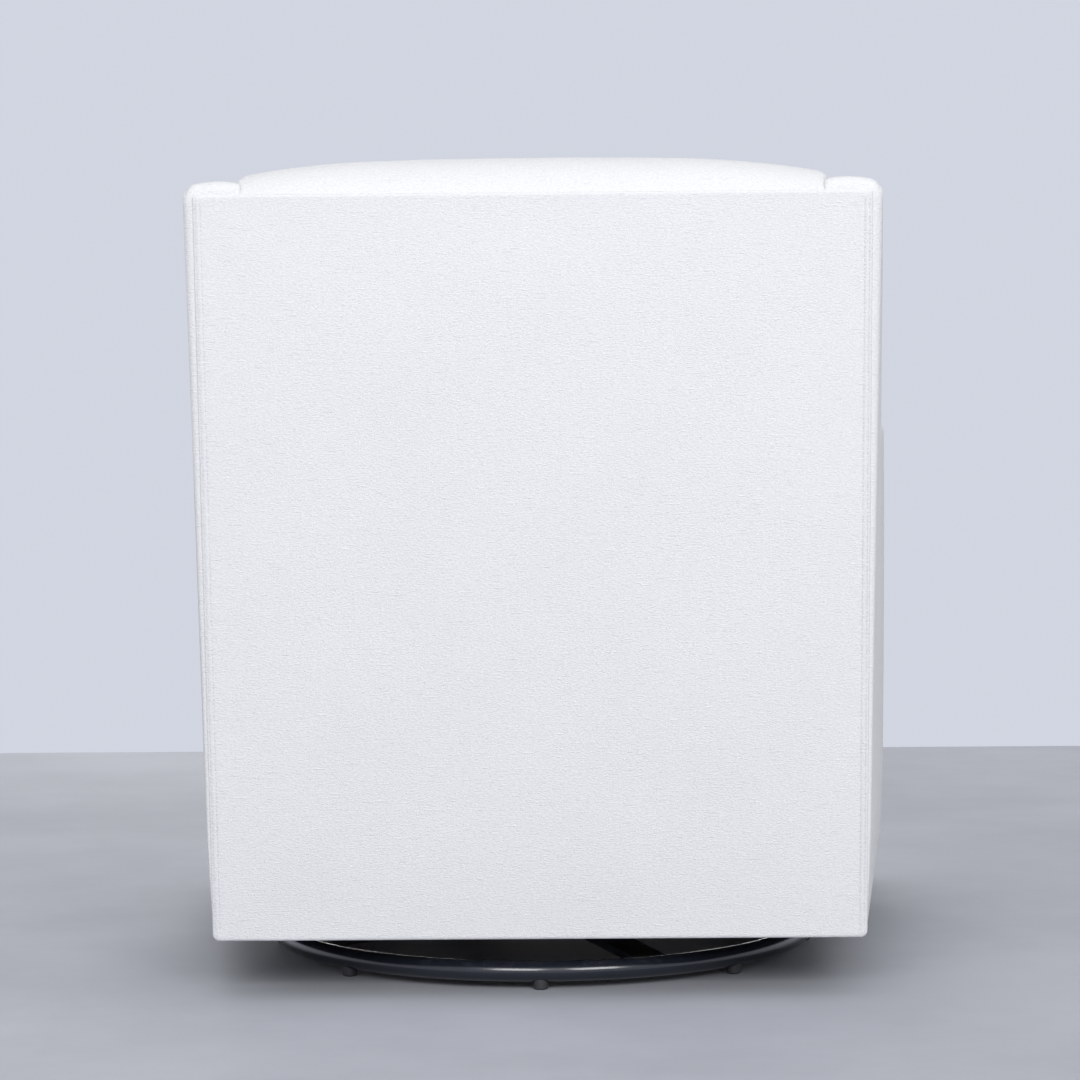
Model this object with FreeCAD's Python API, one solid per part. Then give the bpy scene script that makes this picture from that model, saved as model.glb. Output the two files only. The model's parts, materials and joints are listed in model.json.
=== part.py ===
import FreeCAD, Part
import math
import os

os.makedirs("parts", exist_ok=True)
V = FreeCAD.Vector

# Body: millimetres, front towards -Y, sitter's left +X, floor at z = 0, swivel axis on Z
hem_z = 60.0
hem_rear_y = 335.0
back_lean = math.tan(math.radians(8.0))
back_seam_z = 839.0
back_edge_inset = 4.0
side_near = 200.0
side_far = 500.0
wing_top_z = 851.0
crown_z = 876.0
arm_top_z = 575.0
arm_front_y = -436.0
hem_front_y = -425.0
seat_front_y = -443.7
hem_half_rear = 345.0
hem_half_front = 417.0
wing_flare = 8.0
arm_flare = 5.0
wing_width = 48.0
arm_width = 97.2
arm_rise = 8.0
arm_rear_y = 148.0
wing_front_y = 256.0
arm_nose_radius = 28.0
arm_bend_radius = 100.0
wing_nose_radius = 45.0
wing_heel_radius = 14.0
cover_rim_radius = 12.0
soft_gap = 0.3
run_gap = 0.05
wedge_over = 40.0

# Base
ring_radius = 294.0
ring_tube_radius = 11.0
glide_radius = 8.0
glide_height = 8.0
glide_count = 8
bar_angle = 26.0
bar_width = 38.0
bar_thickness = 8.0
bar_start_radius = 25.0
bar_bend_radius = 96.0
hub_radius = 90.0
hub_bottom_z = 38.0
hub_thickness = 6.0

# Swivel bearing
race_inner = 45.0
race_outer = 86.0
race_thickness = 6.0
race_space = 0.6
track_inner = 55.0
track_outer = 75.0
track_depth = 3.0
race_bolt_radius = 3.0
race_bolt_circle = 80.5
king_radius = 8.0
king_flats = 24.0
king_nut_height = 10.5
washer_radius = 14.0
washer_thickness = 3.5

# Glider mechanism
plate_half_x = 134.0
plate_half_y = 100.0
plate_thickness = 5.0
stand_x = 130.0
stand_thickness = 4.0
stand_top_z = 216.0
foot_half = 78.0
flange_width = 30.0
stand_shoulder = 40.0
link_x = 136.0
link_thickness = 8.0
link_eye_radius = 18.0
link_waist = 12.0
pivot_y = 100.0
pivot_top_z = 198.0
pivot_low_z = 80.0
bearing_outer = 13.0
bearing_bore = 5.0
hanger_x = 150.0
hanger_thickness = 4.0
pin_seat_radius = 6.0
pin_head_radius = 10.0
pin_head = 5.0
pin_shoulder_radius = 8.5
pin_tail = 3.5
clip_radius = 8.0
clip_thickness = 1.6
side_play = 0.2
swing = math.radians(25.0)
stop_radius = 6.0
stop_along_link = 45.0
rail_z = 236.0
rail_width = 32.0
rail_height = 30.0
rail_half_length = 190.0
rail_end_margin = 40.0
rail_thickness = 4.0
tie_y = 160.0
tie_height = 23.0
wood_bolt_radius = 4.0
wood_bolt_flats = 13.0
wood_bolt_head = 5.0
carriage_bolt_length = 38.0

# Seat and back frame
frame_bottom_z = 64.0
seat_rail_bottom_z = 205.0
seat_rail_top_z = 285.0
board = 25.0
bearer_width = 40.0
front_rail_y = -406.0
side_rail_inset = 15.0
arm_bolt_ys = (-250.0, 150.0)
arm_bolt_length = 34.0
corner_block_leg = 60.0
corner_block_step = 10.0
cover_wall = 9.0
deck_top_z = 312.0
strap_thickness = 2.5
post_gap = 5.0
post_width = 48.0
outside_back_thickness = 10.0
back_board_thickness = 4.0
post_depth = 45.0
top_rail_z = 815.0
rail_depth = 45.0
panel_inner = 12.0
panel_outer = 9.0
panel_front_rim = 106.0
panel_low_rim = 18.0
panel_top_rim = 85.0
panel_corner = 30.0
hollow_rear = 22.0
hollow_front = 12.0
hollow_top = 16.0
block_depth = 38.0
block_height = 43.0
cross_rail_z = 330.0
strap_width = 60.0
strap_pitch_x = 105.0
strap_pitch_y = 120.0
back_strap_width = 50.0
back_strap_count = 5
cushion_rear_y = 94.0
cushion_seam_z = 428.5
cushion_crown = 38.0
cushion_inset = 5.5
cushion_bow = 2.6
cushion_shoulder = 90.0
back_side_gap = 1.5
back_roll_depth = 85.0
back_brow_depth = 172.0
back_brow_drop = 70.0
back_chest_depth = 238.0
back_chest_z = 640.0
back_waist_depth = 280.0
back_waist_z = 440.0
back_heel_depth = 250.0
back_heel_rise = 32.0
back_side_drop = 28.0
border_front_y = -430.0
border_fillet = 10.0
window_half_x = 215.0
window_half_y = 195.0

top_half_rear = hem_half_rear + wing_flare
top_half_front = hem_half_front + arm_flare
back_half_width = hem_half_rear - back_edge_inset
post_outer_x = hem_half_rear - wing_width - post_gap
post_inner_x = post_outer_x - post_width
ring_z = glide_height + ring_tube_radius
hub_top_z = hub_bottom_z + hub_thickness
lower_race_top = hub_top_z + race_thickness
upper_race_bottom = lower_race_top + race_space
upper_race_top = upper_race_bottom + race_thickness
plate_top_z = upper_race_top + plate_thickness
post_rear = outside_back_thickness + back_board_thickness
post_front = post_rear + post_depth
front_rail_rear_y = front_rail_y + board
ends = {"front": -1, "rear": 1}


def back_y(z):
    return hem_rear_y + (z - hem_z) * back_lean


def inner_half(y):
    # Inner faces of the arms: the hem line less the width of wing and arm
    share = (hem_rear_y - y) / (hem_rear_y - hem_front_y)
    rear = hem_half_rear - wing_width
    return rear + (hem_half_front - arm_width - rear) * share


def hem_half(y):
    share = (hem_rear_y - y) / (hem_rear_y - hem_front_y)
    return hem_half_rear + (hem_half_front - hem_half_rear) * share


def outer_half(y, z):
    rear_y = back_y(wing_top_z)
    share = (rear_y - y) / (rear_y - arm_front_y)
    high = top_half_rear + (top_half_front - top_half_rear) * share
    return hem_half(y) + (high - hem_half(y)) * (z - hem_z) / (wing_top_z - hem_z)


def on_yz(x):
    return lambda u, v: V(x, u, v)


def on_xy(z):
    return lambda u, v: V(u, v, z)


def on_xz(y):
    return lambda u, v: V(u, y, v)


def outline(corners, place):
    # Closed outline from (u, v, corner radius) points, rounded by tangent arcs
    edges = []
    runs = []
    count = len(corners)
    for i in range(count):
        u, v, radius = corners[i]
        here = V(u, v, 0)
        before = V(corners[i - 1][0], corners[i - 1][1], 0) - here
        after = V(corners[(i + 1) % count][0], corners[(i + 1) % count][1], 0) - here
        before.normalize()
        after.normalize()
        if radius == 0:
            runs.append((here, None, here))
            continue
        half_angle = before.getAngle(after) / 2
        reach = radius / math.tan(half_angle)
        middle = before + after
        middle.normalize()
        top = here + middle * (radius / math.sin(half_angle) - radius)
        runs.append((here + before * reach, top, here + after * reach))
    for i in range(count):
        start, top, end = [None if p is None else place(p.x, p.y) for p in runs[i]]
        if top is not None:
            edges.append(Part.Arc(start, top, end).toShape())
        following = runs[(i + 1) % count][0]
        following = place(following.x, following.y)
        if (following - end).Length > 1e-6:
            edges.append(Part.LineSegment(end, following).toShape())
    return Part.Wire(edges)


def slab(corners, place, depth):
    return Part.Face(outline(corners, place)).extrude(depth)


def box(x0, x1, y0, y1, z0, z1):
    return Part.makeBox(x1 - x0, y1 - y0, z1 - z0, V(x0, y0, z0))


def disc(radius, z0, z1, x=0.0, y=0.0):
    return Part.makeCylinder(radius, z1 - z0, V(x, y, z0))


def ring(outer, inner, z0, z1):
    return disc(outer, z0, z1).cut(disc(inner, z0, z1))


def barrel(x0, x1, y, z, radius):
    return Part.makeCylinder(radius, x1 - x0, V(x0, y, z), V(1, 0, 0))


def hexagon(flats, height, base, along):
    corners = [(x, y, 0) for x, y in around(6, 0, flats / math.sqrt(3))]
    prism = slab(corners, on_xy(0), V(0, 0, height))
    prism.Placement = FreeCAD.Placement(base, FreeCAD.Rotation(V(0, 0, 1), along))
    return prism


def bolt(base, along, radius, length, flats, head):
    # Shank from base along the given way, head behind the base
    shank = Part.makeCylinder(radius, length, base, along)
    return shank.fuse(hexagon(flats, head, base - along * head, along)).removeSplitter()


def leaning(x0, x1, front, rear, z0, z1):
    # Board that leans with the back, between two depths behind the outside back's face
    corners = [(back_y(z0) - front, z0, 0), (back_y(z0) - rear, z0, 0),
               (back_y(z1) - rear, z1, 0), (back_y(z1) - front, z1, 0)]
    return slab(corners, on_yz(x0), V(x1 - x0, 0, 0))


def between_sides(margin, y0, y1, z0, z1):
    # Board that fills the width between the splayed arms
    half0 = inner_half(y0) - margin
    half1 = inner_half(y1) - margin
    corners = [(-half0, y0, 0), (half0, y0, 0), (half1, y1, 0), (-half1, y1, 0)]
    return slab(corners, on_xy(z0), V(0, 0, z1 - z0))


def wedge(near, far):
    # Left-hand block between two splayed faces, each given as half width over (y, z)
    wires = []
    y0 = arm_front_y - wedge_over
    y1 = back_y(wing_top_z) + wedge_over
    for z in (hem_z - wedge_over, wing_top_z + wedge_over):
        corners = [(near(y0, z), y0, 0), (far(y0, z), y0, 0), (far(y1, z), y1, 0), (near(y1, z), y1, 0)]
        wires.append(outline(corners, on_xy(z)))
    return Part.makeLoft(wires, True, True)


def side_profile(rear, bottom, front, top):
    # Side view of arm and wing, drawn in by the given margins
    rise = wing_top_z - top
    heel = wing_heel_radius if top == 0 else wing_heel_radius / 3.5
    corners = [(back_y(hem_z) - rear, hem_z + bottom, 0),
               (hem_front_y + front, hem_z + bottom, 0),
               (arm_front_y + front, arm_top_z - top, arm_nose_radius - front),
               (arm_rear_y + top, arm_top_z + arm_rise - top, arm_bend_radius),
               (wing_front_y + top, rise, wing_nose_radius - top),
               (back_y(rise) - rear, rise, heel)]
    return slab(corners, on_yz(side_near), V(side_far - side_near, 0, 0))


def mirrored(shape):
    return shape.mirror(V(0, 0, 0), V(1, 0, 0))


def save(node, *shapes):
    shape = shapes[0] if len(shapes) == 1 else Part.makeCompound(list(shapes))
    shape.exportStep("parts/" + node + ".step")


def save_pair(node, shape):
    save(node + "_left", shape)
    save(node + "_right", mirrored(shape))


def around(count, start, radius):
    turns = [math.radians(start + 360.0 / count * i) for i in range(count)]
    return [(radius * math.cos(t), radius * math.sin(t)) for t in turns]


# Base: tube ring, cross arms, hub and glides
tube = Part.makeTorus(ring_radius, ring_tube_radius, V(0, 0, ring_z))
save("base_ring", tube)

bar_corners = [(bar_start_radius, hub_bottom_z - bar_thickness, 0),
               (bar_bend_radius, hub_bottom_z - bar_thickness, 30.0),
               (ring_radius, ring_z - bar_thickness / 2, 0),
               (ring_radius, ring_z + bar_thickness / 2, 0),
               (bar_bend_radius, hub_bottom_z, 38.0),
               (bar_start_radius, hub_bottom_z, 0)]
bar = slab(bar_corners, on_xz(-bar_width / 2), V(0, bar_width, 0)).cut(tube)
bars = []
for i in range(4):
    turned = bar.copy()
    turned.rotate(V(0, 0, 0), V(0, 0, 1), bar_angle + 90 * i)
    bars.append(turned)
save("base_arms", *bars)

hub_bolt_spots = around(4, bar_angle + 45, race_bolt_circle)
hub = disc(hub_radius, hub_bottom_z, hub_top_z).cut(disc(king_radius + run_gap, hub_bottom_z, hub_top_z))
for x, y in hub_bolt_spots:
    hub = hub.cut(disc(race_bolt_radius, hub_bottom_z, hub_top_z, x, y))
save("hub_plate", hub)

glides = []
for x, y in around(glide_count, 0, ring_radius):
    foot = disc(glide_radius, 0, ring_z - 3, x, y)
    foot = foot.makeChamfer(1.5, [e for e in foot.Edges if e.BoundBox.ZMax < 0.01])
    glides.append(foot.cut(tube))
save("floor_glides", *glides)

# Swivel bearing
track = ring(track_outer, track_inner, lower_race_top - track_depth, lower_race_top)
lower_race = ring(race_outer, race_inner, hub_top_z, lower_race_top).cut(track)
for x, y in hub_bolt_spots:
    lower_race = lower_race.cut(disc(race_bolt_radius, hub_top_z, lower_race_top - 1, x, y))
save("bearing_lower_race", lower_race)

thrust_top = lower_race_top + track_depth
thrust = ring(track_outer - soft_gap, track_inner + soft_gap, lower_race_top - track_depth, thrust_top)
save("thrust_ring", thrust)

race_bolt_spots = around(4, 45, race_bolt_circle)
upper_track = ring(track_outer, track_inner, upper_race_bottom, thrust_top + run_gap)
upper_race = ring(race_outer, race_inner, upper_race_bottom, upper_race_top).cut(upper_track)
for x, y in race_bolt_spots:
    upper_race = upper_race.cut(disc(race_bolt_radius, upper_race_bottom + 1.5, upper_race_top, x, y))
save("bearing_upper_race", upper_race)

save("hub_bolts", *[bolt(V(x, y, hub_bottom_z), V(0, 0, 1), race_bolt_radius,
                         lower_race_top - 1 - hub_bottom_z, 10.0, 4.0) for x, y in hub_bolt_spots])
save("race_bolts", *[bolt(V(x, y, plate_top_z), V(0, 0, -1), race_bolt_radius,
                          plate_top_z - upper_race_bottom - 1.5, 10.0, 4.0) for x, y in race_bolt_spots])

washer_top = hub_bottom_z - run_gap
nut_top = washer_top - washer_thickness
nut_bottom = nut_top - king_nut_height
king_length = plate_top_z - nut_bottom
king_pin = bolt(V(0, 0, plate_top_z), V(0, 0, -1), king_radius, king_length, king_flats, 8.0)
king_nut = hexagon(king_flats, king_nut_height, V(0, 0, nut_bottom), V(0, 0, 1))
king_nut = king_nut.fuse(disc(washer_radius, nut_top, washer_top)).removeSplitter()
king_nut = king_nut.cut(disc(king_radius, nut_bottom, washer_top))
save("king_pin", king_pin, king_nut)

# Swivel plate and stands
plate_corners = [(-plate_half_x, -plate_half_y, 20.0), (plate_half_x, -plate_half_y, 20.0),
                 (plate_half_x, plate_half_y, 20.0), (-plate_half_x, plate_half_y, 20.0)]
plate = slab(plate_corners, on_xy(upper_race_top), V(0, 0, plate_thickness))
plate = plate.cut(disc(king_radius, upper_race_top, plate_top_z))
for x, y in race_bolt_spots:
    plate = plate.cut(disc(race_bolt_radius, upper_race_top, plate_top_z, x, y))
save("swivel_plate", plate)

stand_half = pivot_y + link_eye_radius
shoulder_z = stand_top_z - stand_shoulder
stand_corners = [(-foot_half, plate_top_z, 0), (foot_half, plate_top_z, 0),
                 (stand_half, shoulder_z, 24.0), (stand_half, stand_top_z, 17.0),
                 (-stand_half, stand_top_z, 17.0), (-stand_half, shoulder_z, 24.0)]
stand = slab(stand_corners, on_yz(stand_x), V(stand_thickness, 0, 0))
flange = box(stand_x - flange_width, stand_x, -foot_half, foot_half,
             plate_top_z, plate_top_z + stand_thickness)
stand = stand.fuse(flange).removeSplitter()
window_low = plate_top_z + 30.4
window_high = stand_top_z - 26
for way in ends.values():
    window = [(8.0 * way, window_low, 7.0), (40.0 * way, window_low, 7.0),
              (48.0 * way, window_high, 7.0), (8.0 * way, window_high, 7.0)]
    stand = stand.cut(slab(window, on_yz(stand_x), V(stand_thickness, 0, 0)))
    stand = stand.cut(barrel(stand_x, stand_x + stand_thickness, pivot_y * way, pivot_top_z, pin_seat_radius))
save_pair("stand", stand)

stand_face = stand_x + stand_thickness
link_face = link_x + link_thickness
pins = []
clips = []
for way in ends.values():
    at = (pivot_y * way, pivot_top_z)
    pin = barrel(stand_x - pin_head, stand_x, *at, pin_head_radius)
    pin = pin.fuse(barrel(stand_x, stand_face, *at, pin_seat_radius))
    pin = pin.fuse(barrel(stand_face, link_x - side_play, *at, pin_shoulder_radius))
    pin = pin.fuse(barrel(link_x - side_play, link_face + pin_tail, *at, bearing_bore - run_gap))
    pins.append(pin.removeSplitter())
    clip = barrel(link_face + 3 * side_play, link_face + 3 * side_play + clip_thickness, *at, clip_radius)
    clips.append(clip.cut(barrel(link_face, link_face + pin_tail, *at, bearing_bore - run_gap)))
upper = pins + clips
save("upper_pivot_pins", *(upper + [mirrored(s) for s in upper]))

# Rubber stops stand where the link's edge arrives at the end of its swing
stop_out = link_waist + stop_radius + 0.4
stop_y = pivot_y - stop_along_link * math.sin(swing) - stop_out * math.cos(swing)
stop_z = pivot_top_z - stop_along_link * math.cos(swing) + stop_out * math.sin(swing)
stops = [barrel(stand_face, link_face + 1, stop_y * way, stop_z, stop_radius) for way in ends.values()]
save("glide_stops", *(stops + [mirrored(s) for s in stops]))

# Pendulum links with their bearings
eye = link_eye_radius
link_corners = [(-eye, pivot_top_z + eye, eye - 0.1), (eye, pivot_top_z + eye, eye - 0.1),
                (eye, pivot_top_z - eye, 12.0), (link_waist, pivot_top_z - eye - 16, 12.0),
                (link_waist, pivot_low_z + eye + 16, 12.0), (eye, pivot_low_z + eye, 12.0),
                (eye, pivot_low_z - eye, eye - 0.1), (-eye, pivot_low_z - eye, eye - 0.1),
                (-eye, pivot_low_z + eye, 12.0), (-link_waist, pivot_low_z + eye + 16, 12.0),
                (-link_waist, pivot_top_z - eye - 16, 12.0), (-eye, pivot_top_z - eye, 12.0)]
link = slab(link_corners, on_yz(link_x), V(link_thickness, 0, 0))
slot_middle = (pivot_top_z + pivot_low_z) / 2
slot = [(-4.0, slot_middle - 20, 3.9), (4.0, slot_middle - 20, 3.9),
        (4.0, slot_middle + 20, 3.9), (-4.0, slot_middle + 20, 3.9)]
link = link.cut(slab(slot, on_yz(link_x), V(link_thickness, 0, 0)))
bearings = []
for z in (pivot_top_z, pivot_low_z):
    bearing = barrel(link_x, link_face, 0, z, bearing_outer)
    link = link.cut(bearing)
    bearings.append(bearing.cut(barrel(link_x, link_face, 0, z, bearing_bore)))
for end, way in ends.items():
    shift = V(0, pivot_y * way, 0)
    save_pair("link_" + end, link.translated(shift))
    save_pair("link_bearings_" + end, Part.makeCompound([b.translated(shift) for b in bearings]))

# Carriage that the links carry
hanger_face = hanger_x + hanger_thickness
hanger_corners = [(-eye, pivot_low_z - eye, eye - 0.1), (eye, pivot_low_z - eye, eye - 0.1),
                  (34.0, rail_z, 6.0), (-34.0, rail_z, 6.0)]
hanger = slab(hanger_corners, on_yz(hanger_x), V(hanger_thickness, 0, 0))
hanger = hanger.cut(barrel(hanger_x, hanger_face, 0, pivot_low_z, pin_seat_radius))
save_pair("hangers", Part.makeCompound([hanger.translated(V(0, pivot_y * way, 0)) for way in ends.values()]))

low_pins = []
for way in ends.values():
    at = (pivot_y * way, pivot_low_z)
    pin = barrel(hanger_face, hanger_face + pin_head, *at, pin_head_radius)
    pin = pin.fuse(barrel(hanger_x, hanger_face, *at, pin_seat_radius))
    pin = pin.fuse(barrel(link_face + side_play, hanger_x, *at, pin_shoulder_radius))
    pin = pin.fuse(barrel(link_x - 3 * side_play, link_face + side_play, *at, bearing_bore - run_gap))
    low_pins.append(pin.removeSplitter())
save("lower_pivot_pins", *(low_pins + [mirrored(s) for s in low_pins]))

tie_top = rail_z - rail_thickness
rail_low = rail_z - rail_height
rail_out = hanger_face + rail_width
angle_corners = [(hanger_face, rail_low, 0), (hanger_face + rail_thickness, rail_low, 0),
                 (hanger_face + rail_thickness, tie_top, 4.0), (rail_out, tie_top, 0),
                 (rail_out, rail_z, 0), (hanger_face, rail_z, 3.0)]
carriage_rail = slab(angle_corners, on_xz(-rail_half_length), V(0, 2 * rail_half_length, 0))
carriage_bolt_x = hanger_face + (rail_width + rail_thickness) / 2
carriage_bolt_y = rail_half_length - rail_end_margin
carriage_bolt_ys = (-carriage_bolt_y, 0.0, carriage_bolt_y)
for y in carriage_bolt_ys:
    carriage_rail = carriage_rail.cut(disc(wood_bolt_radius, tie_top, rail_z, carriage_bolt_x, y))
save_pair("carriage_rail", carriage_rail)

ties = [box(-hanger_face, hanger_face, y, y + 5, tie_top - tie_height, tie_top) for y in (tie_y, -tie_y - 5)]
save("carriage_ties", *ties)

carriage_bolts = []
for y in carriage_bolt_ys:
    carriage_bolts.append(bolt(V(carriage_bolt_x, y, tie_top), V(0, 0, 1), wood_bolt_radius,
                               carriage_bolt_length, wood_bolt_flats, wood_bolt_head))
save("carriage_bolts", *(carriage_bolts + [mirrored(s) for s in carriage_bolts]))

# Wooden seat frame
bearer_top = seat_rail_top_z - 4
rear_rail_front = post_front + board
bearer_corners = [(front_rail_rear_y, rail_z, 0), (back_y(rail_z) - rear_rail_front, rail_z, 0),
                  (back_y(bearer_top) - rear_rail_front, bearer_top, 0), (front_rail_rear_y, bearer_top, 0)]
bearer = slab(bearer_corners, on_yz(hanger_face), V(bearer_width, 0, 0))
for y in carriage_bolt_ys:
    bearer = bearer.cut(disc(wood_bolt_radius, rail_z, tie_top + carriage_bolt_length, carriage_bolt_x, y))
save("seat_bearers", bearer, mirrored(bearer))

save("front_rail", between_sides(soft_gap, front_rail_y, front_rail_rear_y, frame_bottom_z, seat_rail_top_z))
low_z = seat_rail_bottom_z
high_z = seat_rail_top_z
rear_half = inner_half(back_y(high_z) - post_front) - side_rail_inset
save("rear_rail", leaning(-rear_half, rear_half, rear_rail_front, post_front, low_z, high_z))

side_corners = [(front_rail_rear_y, low_z, 0), (back_y(low_z) - post_front, low_z, 0),
                (back_y(high_z) - post_front, high_z, 0), (front_rail_rear_y, high_z, 0)]
side_rail = slab(side_corners, on_yz(side_near), V(side_far - side_near, 0, 0))
side_rail = side_rail.common(wedge(lambda y, z: inner_half(y) - side_rail_inset,
                                   lambda y, z: inner_half(y) + cover_wall))

arm_bolt_z = (low_z + high_z) / 2
arm_bolts = []
for y in arm_bolt_ys:
    head_x = inner_half(y) - side_rail_inset - soft_gap
    arm_bolts.append(bolt(V(head_x, y, arm_bolt_z), V(1, 0, 0), wood_bolt_radius, arm_bolt_length,
                          wood_bolt_flats, wood_bolt_head))
    side_rail = side_rail.cut(barrel(head_x - 2, head_x + arm_bolt_length, y, arm_bolt_z, wood_bolt_radius))
save_pair("side_rail", side_rail)
save("arm_bolts", *(arm_bolts + [mirrored(s) for s in arm_bolts]))

blocks = []
block_bottom = low_z + corner_block_step
corner_rise = V(0, 0, high_z - corner_block_step - block_bottom)
for y, way in ((front_rail_rear_y, 1), (back_y(block_bottom) - rear_rail_front, -1)):
    corner_x = inner_half(y) - side_rail_inset
    far_y = y + corner_block_leg * way
    far_x = inner_half(far_y) - side_rail_inset
    corners = [(corner_x, y, 0), (corner_x - corner_block_leg, y, 0), (far_x, far_y, 0)]
    blocks.append(slab(corners, on_xy(block_bottom), corner_rise))
save("corner_blocks", *(blocks + [mirrored(s) for s in blocks]))

# Seat suspension: webbing, fore-and-aft straps under cross straps
cross_z = high_z + strap_thickness + 0.1
strap_rear = back_y(high_z) - post_front - 3
strap_half = strap_width / 2
straps = []
for i in range(-2, 3):
    x = i * strap_pitch_x
    y = i * strap_pitch_y - strap_half
    straps.append(box(x - strap_half, x + strap_half, front_rail_y + 2, strap_rear,
                      high_z, high_z + strap_thickness))
    straps.append(between_sides(-5.0, y - strap_half, y + strap_half, cross_z, cross_z + strap_thickness))
save("seat_webbing", *straps)
deck_bottom = cross_z + strap_thickness + soft_gap
cushion_low = deck_top_z + 2 * soft_gap
deck_rear = back_y(deck_bottom) - post_front - 1
save("deck_pad", between_sides(1.0, front_rail_y, deck_rear, deck_bottom, deck_top_z))

# Back frame
post = leaning(post_inner_x, post_outer_x, post_front, post_rear, frame_bottom_z, top_rail_z)
save_pair("back_post", post)
top_rail_low = top_rail_z - rail_depth
save("back_top_rail", leaning(-post_inner_x, post_inner_x, post_front, post_rear, top_rail_low, top_rail_z))
cross_rails = [leaning(-post_inner_x, post_inner_x, post_front, post_rear, z, z + rail_depth)
               for z in (frame_bottom_z, cross_rail_z)]
save("back_cross_rails", *cross_rails)
web_rear = post_front + soft_gap
web_front = web_rear + strap_thickness
web_half = post_outer_x - 2
web_low = cross_rail_z + rail_depth + 20
web_step = (top_rail_low - back_strap_width - web_low) / (back_strap_count - 1)
back_straps = []
for i in range(back_strap_count):
    z = web_low + i * web_step
    back_straps.append(leaning(-web_half, web_half, web_front, web_rear, z, z + back_strap_width))
save("back_webbing", *back_straps)
back_board = leaning(-post_outer_x, post_outer_x, post_rear, outside_back_thickness,
                     frame_bottom_z, top_rail_z)
save("back_board", back_board)

# Side covers: padded shells over the arm and wing panels
inner_corners = [(inner_half(side_far), side_far, 0), (inner_half(-side_far), -side_far, 0),
                 (side_far, -side_far, 0), (side_far, side_far, 0)]
inner_side = slab(inner_corners, on_xy(hem_z - wedge_over), V(0, 0, wing_top_z + wedge_over))
cover = side_profile(1.5, 0.0, 0.0, 0.0).common(inner_side)
cover = cover.common(wedge(lambda y, z: side_near - wedge_over, outer_half))
rim = []
for edge in cover.Edges:
    middle = edge.valueAt((edge.FirstParameter + edge.LastParameter) / 2)
    off_inner = abs(middle.x - inner_half(middle.y))
    off_outer = abs(middle.x - outer_half(middle.y, middle.z))
    ends_z = [v.Z for v in edge.Vertexes]
    if min(off_inner, off_outer) < 0.05 and max(ends_z) > hem_z + 1:
        rim.append(edge)
cover = cover.makeFillet(cover_rim_radius, rim)
hollow = side_profile(hollow_rear, -wedge_over / 2, hollow_front, hollow_top)
cover = cover.cut(hollow.common(wedge(lambda y, z: inner_half(y) + cover_wall,
                                      lambda y, z: hem_half(y) - cover_wall)))
seat_room_front = front_rail_y + 11
seat_room_rear = back_y(hem_z) - 17
seat_room = box(side_near, side_far, seat_room_front, seat_room_rear, hem_z - 5, deck_top_z)
cover = cover.cut(seat_room.common(wedge(lambda y, z: side_near,
                                         lambda y, z: inner_half(y) + cover_wall + 1)))
rebate = leaning(0.0, back_half_width + soft_gap, outside_back_thickness + soft_gap, -5.0, hem_z - 5,
                 back_seam_z + soft_gap)
cover = cover.cut(rebate)
save_pair("side_cover", cover)

panel_shape = side_profile(hollow_rear + soft_gap, frame_bottom_z - hem_z, hollow_front + soft_gap,
                           hollow_top + soft_gap)
open_front = arm_front_y + panel_front_rim
open_low = deck_top_z + panel_low_rim
open_high = arm_top_z - panel_top_rim
panel_window = slab([(open_front, open_low, panel_corner), (arm_rear_y, open_low, panel_corner),
                     (arm_rear_y, open_high, panel_corner), (open_front, open_high, panel_corner)],
                    on_yz(side_near), V(side_far - side_near, 0, 0))
inner_face = cover_wall + soft_gap
inner_panel = panel_shape.common(wedge(lambda y, z: inner_half(y) + inner_face,
                                       lambda y, z: inner_half(y) + inner_face + panel_inner))
inner_panel = inner_panel.cut(panel_window)
for y in arm_bolt_ys:
    bolt_end = inner_half(y) - side_rail_inset + arm_bolt_length
    inner_panel = inner_panel.cut(barrel(side_near, bolt_end, y, arm_bolt_z, wood_bolt_radius))
outer_panel = panel_shape.common(wedge(lambda y, z: hem_half(y) - inner_face - panel_outer,
                                       lambda y, z: hem_half(y) - inner_face))
outer_panel = outer_panel.cut(panel_window)
save_pair("arm_inner_panel", inner_panel)
save_pair("arm_outer_panel", outer_panel)

core = wedge(lambda y, z: inner_half(y) + inner_face + panel_inner,
             lambda y, z: hem_half(y) - inner_face - panel_outer)
block_front = arm_front_y + arm_nose_radius
block_rear = block_front + block_depth
rest_top = arm_top_z - hollow_top - 11
rest_rear = arm_rear_y - block_depth
front_block = box(side_near, side_far, block_front, block_rear, frame_bottom_z, rest_top - 8).common(core)
rest_block = box(side_near, side_far, block_rear, rest_rear, rest_top - block_height, rest_top).common(core)
save_pair("arm_blocks", Part.makeCompound([front_block, rest_block]))

# Outside back: slim padded panel let into the side covers
half = back_half_width
outside = leaning(-half, half, outside_back_thickness, 0.0, hem_z, back_seam_z)
outer_edges = [e for e in outside.Edges if all(abs(v.Y - back_y(v.Z)) < 0.01 for v in e.Vertexes)]
save("outside_back", outside.makeFillet(5.0, outer_edges))

# Front border
border = between_sides(2 * soft_gap, border_front_y, front_rail_y - soft_gap, hem_z, deck_top_z - 4)
border_edges = [e for e in border.Edges if all(abs(v.Y - border_front_y) < 0.01 for v in e.Vertexes)]
save("front_border", border.makeFillet(border_fillet, border_edges))


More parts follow.
